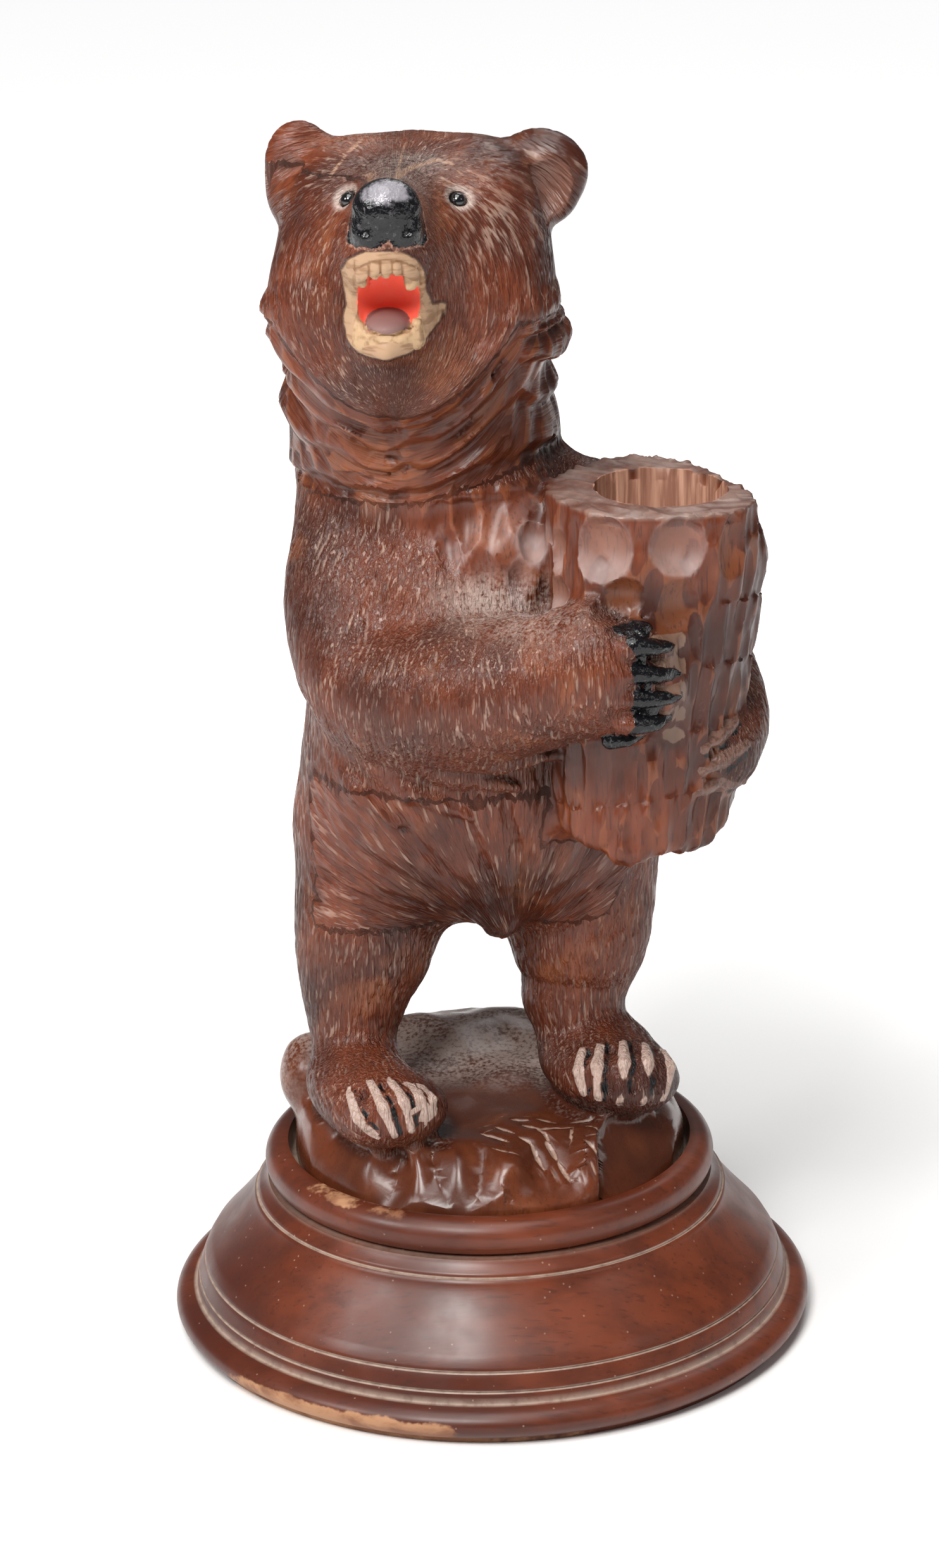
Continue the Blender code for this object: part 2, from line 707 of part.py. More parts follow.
def seen(points):
    """How much detail each point of the carving needs, 1 for the face and claws and 0 for the plain back."""
    x, y, z = points.T
    front = step(-y, -12, 12)
    face = step(z, 228, 240) * step(-y, 22, 32) * step(-np.abs(x + 20), -22, -14)
    ear = step(z, 262, 268) * step(np.abs(x + 12.5), 22, 28)
    foot = step(-z, -40, -36) * step(z, 20, 24) * step(-y, 10, 16)
    paw = step(x, 34, 38) * step(-x, -58, -54) * step(-y, 46, 50) * step(z, 132, 136) * step(-z, -176, -172)
    far_paw = step(x, 55, 58) * step(-y, 20, 26) * step(z, 112, 116) * step(-z, -140, -136)
    scoops = step(x, 6, 12) * step(-y, 26, 32) * step(z, 164, 170) * step(-z, -200, -196)
    chips = step(-z, -20, -17) * step(-y, 36, 42)
    return np.maximum.reduce([0.45 * front, face, 0.7 * ear, foot, paw, far_paw, 0.7 * scoops, 0.7 * chips])


def get_points(mesh):
    flat = np.empty(len(mesh.vertices) * 3, np.float32)
    mesh.vertices.foreach_get("co", flat)
    return flat.reshape(-1, 3).astype(float)


def set_points(mesh, points):
    mesh.vertices.foreach_set("co", points.astype(np.float32).ravel())
    mesh.update()


def thinned(mesh):
    """The mesh with fewer triangles, most of them kept where the carving is finest."""
    made = new_object("thinned", mesh, bpy.context.scene.collection)
    plain = made.vertex_groups.new(name="plain")
    weights = np.round(1 - 0.9 * seen(get_points(mesh)), 1)
    for share in np.unique(weights):
        plain.add(np.flatnonzero(weights == share).tolist(), float(share), "REPLACE")
    fewer = made.modifiers.new("fewer", "DECIMATE")
    fewer.ratio = CARVING_TRIANGLES / (2 * len(mesh.polygons))
    fewer.vertex_group = plain.name
    fewer.vertex_group_factor = DETAIL_FACTOR
    thin = evaluated_mesh(made)
    bpy.data.objects.remove(made)
    return thin


def make_carving(parts, cutters):
    mesh = thinned(carved_mesh(VOXEL))
    set_points(mesh, bedded(get_points(mesh)) * UNIT)
    made = new_object("bear_carving", mesh, parts)
    made.location.z = SEAT_Z
    mesh.materials.append(make_material("stained_wood", (0.115, 0.035, 0.017), 0.35))
    mouth_of_bore = Trunk.top * UNIT + (0.0015, -0.0010, SEAT_Z)
    boolean(made, "bore", "DIFFERENCE", make_cutter("bore", bore_mesh(), cutters, mouth_of_bore))
    glass = make_material("black_glass", (0.004, 0.004, 0.005), 0.05)
    for side, eye in zip(("left", "right"), EYES):
        place = on_skin(*eye, lift=-0.9 * EYE_RADIUS / UNIT) * UNIT + (0, 0, SEAT_Z)
        socket = sphere_mesh("socket", EYE_RADIUS + EYE_CLEARANCE, EYE_RINGS)
        boolean(made, side + "_socket", "DIFFERENCE", make_cutter(side + "_socket", socket, cutters, place))
        bead = new_object(side + "_eye", sphere_mesh(side + "_eye", EYE_RADIUS, EYE_RINGS), parts)
        bead.data.materials.append(glass)
        bead.location = place
    return made


def plinth_profile():
    """Radius and height pairs: the recess, then the outer side from top to bottom, then the underside."""
    seat = PLINTH_HEIGHT - RECESS_DEPTH
    top_radius = RECESS_RADIUS + RIM_WALL
    bead = TOP_BEAD_HEIGHT / 2
    neck = PLINTH_HEIGHT - TOP_BEAD_HEIGHT
    profile = [(0.0, seat), (RECESS_RADIUS, seat), (RECESS_RADIUS + 0.0004, PLINTH_HEIGHT - 0.0014)]
    for turn in (105, 90, 55, 20, -20, -60):
        angle = math.radians(turn)
        profile.append(
            (top_radius - bead + bead * math.cos(angle), PLINTH_HEIGHT - bead + bead * math.sin(angle))
        )
    profile.append((top_radius - 0.0006, neck))
    profile.append((top_radius + 0.0022, neck - 0.0032))
    profile.append((top_radius + 0.0027 - GROOVE_DEPTH, neck - 0.0039))
    cove_top = (top_radius + 0.0036, neck - 0.0053)
    cove_foot = (BASE_RADIUS - 0.0103, BASE_BEAD_HEIGHT + 0.0110)
    for share in (0.0, 0.25, 0.5, 0.75, 1.0):
        radius = cove_top[0] + share**COVE_BEND * (cove_foot[0] - cove_top[0])
        profile.append((radius, cove_top[1] + share * (cove_foot[1] - cove_top[1])))
    profile.append((BASE_RADIUS - 0.0088, BASE_BEAD_HEIGHT + 0.0086))
    profile.append((BASE_RADIUS - 0.0086 - GROOVE_DEPTH, BASE_BEAD_HEIGHT + 0.0079))
    profile.append((BASE_RADIUS - 0.0082, BASE_BEAD_HEIGHT + 0.0072))
    profile.append((BASE_RADIUS - 0.0060, BASE_BEAD_HEIGHT))
    for turn in (62, 0, -40):
        angle = math.radians(turn)
        profile.append((BASE_RADIUS - 0.0062 + 0.0062 * math.cos(angle), 0.0058 + 0.0040 * math.sin(angle)))
    profile.append((BASE_RADIUS - 0.0034, 0.0))
    profile.append((0.0, 0.0))
    return profile


def make_plinth(parts):
    mesh = bpy.data.meshes.new("turned_plinth")
    outline = bmesh.new()
    verts = [outline.verts.new((radius, 0, height)) for radius, height in plinth_profile()]
    for first, second in zip(verts, verts[1:]):
        outline.edges.new((first, second))
    outline.to_mesh(mesh)
    outline.free()
    made = new_object("turned_plinth", mesh, parts)
    mesh.materials.append(make_material("turned_beech", (0.14, 0.04, 0.018), 0.3))
    spin = made.modifiers.new("turn", "SCREW")
    spin.axis = "Z"
    spin.steps = PLINTH_STEPS
    spin.render_steps = PLINTH_STEPS
    spin.use_merge_vertices = True
    spin.merge_threshold = 0.00001
    return made


def main():
    for leftover in list(bpy.data.objects):
        bpy.data.objects.remove(leftover)
    parts = bpy.data.collections.new("carved_bear")
    cutters = bpy.data.collections.new("cutters")
    for collection in (parts, cutters):
        bpy.context.scene.collection.children.link(collection)
    make_plinth(parts)
    make_carving(parts, cutters)


main()
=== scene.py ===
"""The carved bear as it looks: fine carving, paint, stain, varnish and dust over the CAD frame.

The carving's own forms are laid out in the carver's units, as in the part, and then cut finer here.
"""

import itertools
import math

import bmesh
import bpy
import numpy as np
from mathutils import Euler, Matrix, Vector
from mathutils.kdtree import KDTree


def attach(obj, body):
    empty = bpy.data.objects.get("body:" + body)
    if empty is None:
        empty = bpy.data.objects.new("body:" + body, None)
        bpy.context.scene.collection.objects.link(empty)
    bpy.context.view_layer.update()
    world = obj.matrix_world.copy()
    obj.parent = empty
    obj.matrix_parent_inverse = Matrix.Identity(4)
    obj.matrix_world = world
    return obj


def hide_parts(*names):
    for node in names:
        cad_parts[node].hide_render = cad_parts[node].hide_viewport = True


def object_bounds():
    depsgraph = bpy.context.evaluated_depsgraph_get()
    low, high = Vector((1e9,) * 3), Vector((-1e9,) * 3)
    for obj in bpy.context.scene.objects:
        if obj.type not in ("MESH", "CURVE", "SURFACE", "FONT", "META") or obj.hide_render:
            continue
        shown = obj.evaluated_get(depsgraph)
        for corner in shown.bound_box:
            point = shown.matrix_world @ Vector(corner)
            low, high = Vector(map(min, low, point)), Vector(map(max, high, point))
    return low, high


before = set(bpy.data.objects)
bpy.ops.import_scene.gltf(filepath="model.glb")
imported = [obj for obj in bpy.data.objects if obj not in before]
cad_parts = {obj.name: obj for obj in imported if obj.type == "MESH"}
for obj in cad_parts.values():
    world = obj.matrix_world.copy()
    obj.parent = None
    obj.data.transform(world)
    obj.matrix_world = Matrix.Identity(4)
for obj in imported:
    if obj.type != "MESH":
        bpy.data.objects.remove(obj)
cad_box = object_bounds()

# Figure
FIGURE_HEIGHT = 0.2915
UNITS_HIGH = 291.5
UNIT = FIGURE_HEIGHT / UNITS_HIGH

# Hollow trunk
BORE_RADIUS = 0.0173
BORE_DEPTH = 0.075
TRUNK_WALL = 0.0112

# Glass eyes
EYE_RADIUS = 0.0022
EYE_CLEARANCE = 0.0003

# Plinth
BASE_RADIUS = 0.0900
BASE_BEAD_HEIGHT = 0.0100
PLINTH_HEIGHT = 0.0524
RECESS_RADIUS = 0.0562
RECESS_DEPTH = 0.0064
RIM_WALL = 0.0070
TOP_BEAD_HEIGHT = 0.0105
GROOVE_DEPTH = 0.0006
COVE_BEND = 1.15
ROCK_CLEARANCE = 0.0009
SEAT_CLEARANCE = 0.0003
PLINTH_STEPS = 220

# Making, in units
SKIN_VOXEL = 0.60
FINEST_TRIANGLES = 192000
STROKE_TRIES = 60000
STROKE_CELL = 5.0
STROKE_APART = 0.62
STROKE_REACH = 0.55
STROKE_SINK = 3.5
CHUNK = 6000
SKIN_ROUNDS = 12
SETTLE_ROUNDS = 3
SLOPE_STEP = 0.05
FOLDED_BELOW = 0.35
FOLD_RINGS = 4
RELAX_ROUNDS = 60
BOX_MARGIN = 12.0
FAR = 1.0e3
CARVING_CREASE = 55
PLINTH_CREASE = 50
SEED = 5

SEAT_Z = PLINTH_HEIGHT - RECESS_DEPTH + SEAT_CLEARANCE


def turned(degrees):
    """Rotation matrix of three turns about X, Y and Z."""
    return np.array(Euler([math.radians(a) for a in degrees]).to_matrix())


def smooth_min(a, b, blend):
    """The lesser of two distances, rounded where they meet."""
    if blend <= 0:
        return np.minimum(a, b)
    h = np.clip(0.5 + 0.5 * (b - a) / blend, 0, 1)
    return b * (1 - h) + a * h - blend * h * (1 - h)


def smooth_max(a, b, blend):
    return -smooth_min(-a, -b, blend)


def hill(value, centre, width):
    """A smooth bump of height 1 at centre."""
    return np.exp(-(((value - centre) / width) ** 2))


def step(value, low, high):
    """Rises smoothly from 0 at low to 1 at high."""
    share = np.clip((value - low) / (high - low), 0, 1)
    return share * share * (3 - 2 * share)


def to_line(points, start, end):
    """Distance from each point to the straight line between two points, and its share of the way."""
    along = np.subtract(end, start)
    share = np.clip((points - start) @ along / (along @ along), 0, 1)
    return np.linalg.norm(points - start - share[:, None] * along, axis=1), share


class Ball:
    """An ellipsoid: centre, three radii and its turn in degrees."""

    def __init__(self, centre, radii, turn=(0, 0, 0)):
        self.centre = np.array(centre, float)
        self.radii = np.array(radii, float)
        self.axes = turned(turn)

    def box(self):
        reach = np.sqrt(((self.axes * self.radii) ** 2).sum(axis=1))
        return self.centre - reach, self.centre + reach

    def distance(self, points):
        local = (points - self.centre) @ self.axes
        scaled = np.linalg.norm(local / self.radii, axis=1)
        slope = np.linalg.norm(local / self.radii**2, axis=1)
        return scaled * (scaled - 1.0) / np.maximum(slope, 1e-9)


class Limb:
    """A tapering limb through stops (x, y, z, radius)."""

    def __init__(self, *stops):
        stops = np.array(stops, float)
        self.stops = stops if len(stops) < 4 else self.eased(stops)

    @staticmethod
    def eased(stops):
        """The stops with two more between each pair, along a smooth curve through them."""
        ends = np.vstack([2 * stops[0] - stops[1], stops, 2 * stops[-1] - stops[-2]])
        rows = [stops[0]]
        for a, b, c, d in zip(ends, ends[1:], ends[2:], ends[3:]):
            for t in (1 / 3, 2 / 3, 1.0):
                bend = (2 * a - 5 * b + 4 * c - d) * t**2 + (3 * b - a - 3 * c + d) * t**3
                rows.append(b + 0.5 * ((c - a) * t + bend))
        return np.array(rows)

    def box(self):
        at, radius = self.stops[:, :3], self.stops[:, 3:]
        return (at - radius).min(axis=0), (at + radius).max(axis=0)

    def distance(self, points):
        nearest = np.full(len(points), FAR)
        for start, end in zip(self.stops, self.stops[1:]):
            gap, share = to_line(points, start[:3], end[:3])
            nearest = np.minimum(nearest, gap - start[3] - share * (end[3] - start[3]))
        return nearest


class Block:
    """A chiselled boulder: a centre, and faces as (compass, tilt, reach), compass 0 being -Y."""

    def __init__(self, centre, *faces):
        self.centre = np.array(centre, float)
        across, up = np.radians([face[:2] for face in faces]).T
        self.normals = np.stack(
            [np.cos(up) * np.sin(across), -np.cos(up) * np.cos(across), np.sin(up)], axis=1
        )
        self.reaches = np.array([face[2] for face in faces], float)

    def box(self):
        reach = self.reaches.max() * 1.5
        return self.centre - reach, self.centre + reach

    def distance(self, points):
        return ((points - self.centre) @ self.normals.T - self.reaches).max(axis=1)


class Trunk:
    """The hollow tree trunk: a leaning, hewn column with a ragged foot."""

    low = np.array([40.2, -25.5, 103.0])
    top = np.array([46.8, -21.5, 198.0])
    rim_lean = (-0.03, 0.047)
    taper = 3.8
    rows = 17.0
    columns = 7.2

    def box(self):
        reach = self.girth(0.0, 1.0) + 6
        low = np.minimum(self.low, self.top) - (reach, reach, 8)
        return low, np.maximum(self.low, self.top) + (reach, reach, 6)

    def girth(self, angle, share):
        """Radius at an angle and a share of the height, in units."""
        base = (BORE_RADIUS + TRUNK_WALL) / UNIT - self.taper * (1 - share)
        base = base + 1.1 * np.sin(3 * angle + 0.8 + 2.2 * share)
        base = base + 0.7 * np.sin(5 * angle + 2.0 - 3 * share)
        base = base - 7.5 * step(share, 0.87, 1.02) * hill(angle, 0.45, 0.65)
        base = base + 2.4 * hill(share, 0.8, 0.07) * hill(angle, 0.0, 0.5)
        return base + 1.8 * hill(share, 0.66, 0.16) * hill(angle, 0.1, 0.7)

    def hewn(self, angle, height):
        """Depth of the gouge strokes, laid in uneven rows up the trunk."""
        row = (height + 2.2 * np.sin(2.0 * angle + 0.5)) / self.rows
        shift = 0.43 * np.sin(7.3 * np.floor(row))
        across = np.mod(angle * 28.0 / self.columns + shift, 1.0) * 2 - 1
        along = np.mod(row, 1.0)
        calm = 1 - 0.75 * step(height, 160, 168) * hill(angle, -1.6, 0.6)
        return 1.25 * (1 - across**2) * (0.55 + 0.45 * np.sqrt(1 - along)) * calm

    def rim(self, points):
        """Height of the sloping rim over each point."""
        return self.top[2] + (points[:, :2] - self.top[:2]) @ self.rim_lean

    def distance(self, points):
        axis = self.top - self.low
        share = (points[:, 2] - self.low[2]) / axis[2]
        out = points - self.low - np.clip(share, -0.2, 1.2)[:, None] * axis
        angle = np.arctan2(out[:, 1], out[:, 0])
        side = np.hypot(out[:, 0], out[:, 1]) - self.girth(angle, np.clip(share, 0, 1))
        side = side + self.hewn(angle, points[:, 2]) - 0.6
        ragged = 2.4 * np.sin(2 * angle + 0.6) + 1.6 * np.sin(5 * angle + 1.2)
        shell = smooth_max(side, points[:, 2] - self.rim(points), 1.0)
        return smooth_max(shell, self.low[2] + 1.0 + ragged - points[:, 2], 6.0)


class Rock:
    """The rocky ground, an uneven mound standing in the recess of the plinth."""

    radius = (RECESS_RADIUS - ROCK_CLEARANCE) / UNIT
    flare_from = (RECESS_DEPTH + 0.003) / UNIT
    chips = (
        (-46, 40, 42.6, -32.0, -19.5),
        (-4, 50, 39.0, -19.8, -8.4),
        (-30, 46, 38.4, -8.6, 2.0),
        (16, 54, 37.0, 3.6, 27.0),
        (46, 34, 45.0, 29.5, 54.0),
    )

    def __init__(self):
        self.cuts = [self.chip(*chip) for chip in self.chips]

    @staticmethod
    def chip(compass, tilt, reach, left, right):
        """A flat chisel cut across the shoulder that faces compass and tilt, between steep walls."""
        return Block((0, 0, 0), (compass + 180, -tilt, -reach), (-90, 0, -left), (90, 0, right))

    def box(self):
        return np.array([-64.0, -62.0, -4.0]), np.array([62.0, 62.0, 44.0])

    def top(self, x, y):
        high = 20.5 + 0.03 * y + 0.02 * x
        high = high + 5.5 * hill(x, -4, 30) * hill(y, 36, 13)
        high = high - 11.0 * np.clip((x - 33) / 22, 0, 1) ** 1.6
        front = np.hypot(x, y) * step(-y, 5, 25)
        high = high - 12.0 * np.clip((front - 45) / 10, 0, 1) ** 1.5
        return high + 0.9 * np.sin(0.21 * x + 0.4) * np.sin(0.19 * y)

    def distance(self, points):
        x, y, z = points.T
        angle = np.arctan2(y, x)
        edge = self.radius - 0.6 + 0.5 * np.sin(5 * angle + 0.4) + 0.3 * np.sin(11 * angle)
        edge = np.minimum(edge, self.radius) - 0.15 * np.clip(z - self.flare_from, 0, 40)
        mound = smooth_max(np.hypot(x, y) - edge, (z - self.top(x, y)) * 0.9, 4.0)
        for cut in self.cuts:
            mound = np.maximum(mound, -cut.distance(points))
        return np.maximum(mound, -z)


def body_masses():
    """Hips, belly, chest and hump, each as a shape and how far it blends into the ones before it."""
    return [
        (Ball((-1, 7, 103), (48.5, 38, 34)), 0),
        (Ball((-4, -1, 124), (43.5, 39, 36)), 14),
        (Ball((-8, 2, 158), (39, 37, 40)), 14),
        (Ball((-13, 19, 188), (35.5, 34, 36)), 14),
        (Ball((12, -9, 177), (20, 21, 21)), 9),
        (Limb((10, 14, 188, 14), (33, 12, 184.5, 12)), 8),
        (Limb((-3, -18, 98, 16), (4.5, -16, 75.5, 5.5)), 5),
    ]


def head_masses():
    return [
        (Ball((-14.5, 7, 218), (36.4, 37, 33)), 14),
        (Ball((-14.5, 1, 252), (36, 37, 36)), 10),
        (Ball((-32, -4, 270), (16.5, 25, 17)), 7),
        (Ball((3.5, -4, 269.5), (16, 25, 17)), 7),
        (Ball((-37, -16, 246), (16, 20, 22)), 8),
        (Ball((4.0, -14, 246), (16.5, 20, 22)), 8),
        (Ball((-18, -18, 230), (27, 25, 18)), 7),
        (Ball((6.5, -2, 235.5), (19.8, 24, 9.5)), 5),
    ]


def muzzle_masses():
    return [
        (Limb((-17.5, -20, 262, 20), (-20.8, -46.5, 265.0, 12.0)), 9),
        (Limb((-17.5, -22, 273, 12), (-20.8, -49, 274.8, 8.6)), 4),
        (Limb((-18.5, -20, 244, 17), (-21.2, -41, 246.5, 11.8)), 8),
        (Ball((-20.7, -52.6, 277.8), (8.6, 7.2, 7.5)), 1.5),
        (Ball((-25.6, -54.0, 272.6), (4.0, 4.4, 4.8)), 1.5),
        (Ball((-16.0, -54.0, 272.6), (4.0, 4.4, 4.8)), 1.5),
        (Limb((-30.0, -47.5, 261.5, 2.6), (-21.6, -55.0, 265.4, 3.0), (-13.0, -47.5, 261.5, 2.6)), 1.2),
        (Limb((-29.5, -46.0, 243.5, 2.8), (-21.6, -50.6, 241.8, 3.2), (-13.6, -46.0, 244.0, 2.8)), 1.2),
        (Limb((-20, -36, 239, 10), (-20.3, -37, 227, 4.5)), 4),
    ]


def ears():
    return [
        (Ball((-43.6, 0, 279.6), (9.7, 6.3, 12.2), (0, -10, 20)), 4),
        (Ball((-45.8, -1, 273.2), (7.0, 6.0, 8.6), (0, 6, 20)), 3),
        (Ball((19.6, 0, 279.0), (11.8, 6.3, 9.2), (0, 12, -20)), 4),
        (Ball((20.6, -1, 273.0), (8.6, 6.0, 10.4), (0, 28, -20)), 3),
    ]


def leg_masses():
    left = ((-31, 6, 92, 20.5), (-32.7, 2, 68, 20.2), (-35.5, -1, 55, 16.5), (-37.0, -4, 44, 13.0))
    right = ((26.5, 12, 90, 23), (26.3, 8, 66, 20.5), (26.0, 7, 55, 16.5), (24, 4, 46, 14.2))
    return [
        (Limb(*left), 10),
        (Limb(*right), 10),
        (Ball((-35, -20, 29), (14.5, 25, 11.5), (0, 0, 14)), 7),
        (Ball((-26.5, -33, 27.5), (15.5, 13.5, 10.0), (0, 0, 10)), 5),
        (Ball((31, -5, 30), (16.5, 23, 11.5), (0, 0, 10)), 7),
        (Ball((37.5, -16, 28), (15.5, 13, 10.0), (0, 0, -6)), 5),
    ]


def arm_masses():
    right = ((-30.8, 2, 183, 17.5), (-34.5, -10, 164, 17.5), (-27, -23, 146, 19), (-8, -35, 146, 20))
    right_end = ((14, -43, 151, 18), (27, -46, 156.0, 17.2))
    left = ((12, 14, 180, 20), (36, 22, 160, 18), (58, 12, 142, 15), (65, -12, 132, 12.8))
    left_end = (62.5, -27, 127, 11.8)
    knuckles = [(Ball((37.5, -54.5, z), (4.8, 6.5, 3.6)), 1.5) for z in (164.2, 157.6, 151.0, 144.4)]
    return [
        (Limb(*right, *right_end), 6),
        (Ball((30.5, -46, 156.3), (11.5, 15.5, 18.6)), 4),
        (Limb(*left, left_end), 6),
        *knuckles,
    ]


def ground_masses():
    return [
        (Trunk(), 3),
        (Rock(), 3),
        (Ball((-50.0, 9, 20.5), (9.2, 13, 12.0)), 3),
    ]


def work_shapes(depth, shapes, points, sign=1):
    """Joins shapes to the signed distances in depth, or cuts them out of it where sign is -1."""
    for shape, blend in shapes:
        low, high = shape.box()
        reach = BOX_MARGIN + blend
        near = np.flatnonzero(((points > low - reach) & (points < high + reach)).all(axis=1))
        if len(near):
            depth[near] = sign * smooth_min(sign * depth[near], shape.distance(points[near]), blend)
    return depth


def union_of(shapes, points):
    """Signed distance to a blended row of shapes."""
    return work_shapes(np.full(len(points), FAR), shapes, points)


def on_skin(x, y, z, lift=0.0, small=0.02):
    """The point of the masses' skin nearest x, y, z, raised outwards by lift."""
    at = np.array([[x, y, z]], float)
    for _ in range(SKIN_ROUNDS):
        depth = union_of(MASSES, at)
        out = np.array([union_of(MASSES, at + shift)[0] - depth[0] for shift in np.eye(3) * small])
        out /= max(np.linalg.norm(out), 1e-6)
        at = at - depth[0] * out
    return at[0] + lift * out


def fringe():
    """Long pointed locks of fur that lie along the underside of the forearm, from root to tip."""
    rows = (
        ((-39, -18, 127), (-21, -32, 110), 5.5),
        ((-32, -28, 128), (-3, -37, 113.5), 6.5),
        ((-21, -37, 131), (9, -38, 121), 6.5),
        ((-9, -43, 134), (17.5, -42, 128), 5.5),
    )
    locks = []
    for root, tip, width in rows:
        root, tip = np.array(root, float), np.array(tip, float)
        top = on_skin(*root, lift=0.5 - width)
        middle = on_skin(*(root * 0.5 + tip * 0.5), lift=2.8 - width * 0.8)
        low = on_skin(*tip, lift=0.2)
        locks.append((Limb((*top, width), (*middle, width * 0.8), (*low, 1.5)), 0.8))
    return locks


def row_of(count, first, last):
    """Evenly spaced points from first to last."""
    return [np.array(first) + (np.array(last) - first) * i / (count - 1) for i in range(count)]


def between(points):
    """The points halfway between neighbours."""
    return [(first + second) / 2 for first, second in zip(points, points[1:])]


def claw(root, bend, tip, width, blend=0.4):
    """A claw that stands proud of the paw and narrows to its tip."""
    return Limb((*root, width), (*bend, width * 0.72), (*tip, width * 0.25)), blend


def laid_claw(root, tip, width, proud):
    """A lens-shaped claw laid in a paw from root to tip, its middle standing proud."""
    middle = on_skin(*((root + tip) / 2), lift=proud - width)
    ends = [on_skin(*end, lift=0.4 * (proud - width)) for end in (root, tip)]
    return Limb((*ends[0], width * 0.5), (*middle, width), (*ends[1], width * 0.5)), 0.4


FOOT_CLAWS = (
    ((-36.5, -37, 33.5), (-17.6, -36, 38.7), (-30.0, -46, 24.7), (-11.9, -44, 27.7), 1.6),
    ((25.6, -20, 39.0), (48.4, -15, 35.5), (25.2, -28, 28.0), (46.8, -24, 26.2), 1.8),
)


def foot_claws():
    claws = []
    for *ends, width in FOOT_CLAWS:
        roots, tips = row_of(5, *ends[:2]), row_of(5, *ends[2:])
        claws += [laid_claw(root, tip, width, 2.0) for root, tip in zip(roots, tips)]
    return claws


def claw_gaps():
    """The hollows scooped between neighbouring claws of the feet."""
    gaps = []
    for *ends, width in FOOT_CLAWS:
        roots, tips = between(row_of(5, *ends[:2])), between(row_of(5, *ends[2:]))
        for root, tip in zip(roots, tips):
            stops = [on_skin(*(root + (tip - root) * share), lift=0.3) for share in (0.2, 0.8)]
            gaps.append((Limb(*((*stop, width * 0.8) for stop in stops)), 0.3))
    return gaps


def paw_claws():
    """The right paw's claws over the face of the trunk, and the left paw's round its far side."""
    claws = []
    rows = ((165.0, 163.0, 51.0), (157.8, 155.4, 53.2), (150.8, 149.4, 53.2), (144.0, 143.4, 50.4))
    for high, low, reach in rows:
        claws.append(claw((39.5, -57.5, high), (45, -56.0, (high + low) / 2), (reach, -51.3, low), 2.9))
    claws.append(claw((33.5, -54, 138.6), (38, -53.5, 138.4), (42.5, -52, 139.4), 2.4))
    claws.append(claw((37, -56, 171.0), (40.5, -55, 170.4), (44, -52.5, 168.6), 3.2, 0.8))
    roots = row_of(3, (67.3, -34, 137.0), (67.0, -30, 121.6))
    tips = row_of(3, (58.6, -44, 132.2), (57.2, -43, 120.2))
    claws += [laid_claw(root, tip, 2.6, 1.4) for root, tip in zip(roots, tips)]
    return claws


def teeth():
    """Upper pegs with one big canine, then the lower fangs and the gum between them."""
    pegs = (
        ((-27.0, -51.0, 263.2, 2.0), (-27.2, -52.2, 259.3, 1.4)),
        ((-23.9, -54.0, 263.5, 1.7), (-23.9, -54.4, 261.7, 1.4)),
        ((-21.1, -54.8, 263.7, 1.6), (-21.1, -55.2, 262.0, 1.3)),
        ((-18.4, -54.2, 263.7, 1.5), (-18.4, -54.6, 262.4, 1.2)),
        ((-15.2, -51.8, 262.8, 2.3), (-15.3, -53.0, 259.0, 1.9)),
        ((-28.0, -48.5, 243.5, 2.0), (-28.2, -49.8, 248.6, 1.1)),
        ((-14.2, -48.5, 243.5, 2.0), (-13.8, -50.2, 249.4, 1.1)),
        ((-25.0, -51.0, 244.8, 1.5), (-17.6, -51.0, 244.8, 1.5)),
    )
    return [(Limb(*peg), 0.3) for peg in pegs]


def tongue():
    return [(Ball((-21.4, -45.5, 247.6), (5.6, 7.5, 2.6), (8, 0, 0)), 0.4)]


def hollows():
    """What is cut away after the masses are joined: ear cups, eye sockets, nostrils and scooped gouges."""
    cuts = [
        (Ball((-45.4, -8.8, 277.0), (4.4, 4.8, 8.4), (0, -12, 20)), 0.8),
        (Ball((20.6, -9.4, 274.0), (7.4, 5.4, 9.4), (0, 24, -20)), 0.8),
        (Ball((-26.3, -59.2, 273.4), (1.6, 2.4, 2.0)), 0.5),
        (Ball((-15.3, -59.2, 273.4), (1.6, 2.4, 2.0)), 0.5),
    ]
    cuts += claw_gaps()
    for eye in EYES:
        cuts.append((Ball(on_skin(*eye, lift=2.4), (4.4, 4.0, 3.9)), 1.5))
    for x, y, z, across, high, depth in (
        (32.0, -47.0, 188.0, 8.8, 8.6, 4.2),
        (51.5, -48.0, 188.5, 7.5, 7.8, 3.4),
        (21.3, -35.0, 184.5, 3.4, 6.5, 2.4),
        (14.4, -28.0, 186.0, 3.6, 6.5, 2.4),
        (20.0, -38.0, 172.5, 4.4, 5.0, 2.2),
        (11.0, -32.0, 176.0, 3.0, 6.0, 1.8),
        (36.0, -50.0, 175.0, 6.5, 5.0, 2.2),
        (52.0, -50.0, 172.5, 6.0, 7.0, 2.2),
        (65.0, -42.0, 186.0, 4.5, 9.0, 1.8),
    ):
        cuts.append(scoop(x, y, z, across, high, depth))
    return cuts


def scoop(x, y, z, across, high, depth):
    """A shallow round gouge in the front of the trunk or the chest."""
    thick = 6.0
    wide = 1 / math.sqrt(1 - (1 - depth / thick) ** 2)
    middle = on_skin(x, y, z, lift=thick - depth)
    out = middle - on_skin(x, y, z)
    compass = math.degrees(math.atan2(out[0], -out[1]))
    return Ball(middle, (across * wide, thick, high * wide), (0, 0, compass)), 0.3


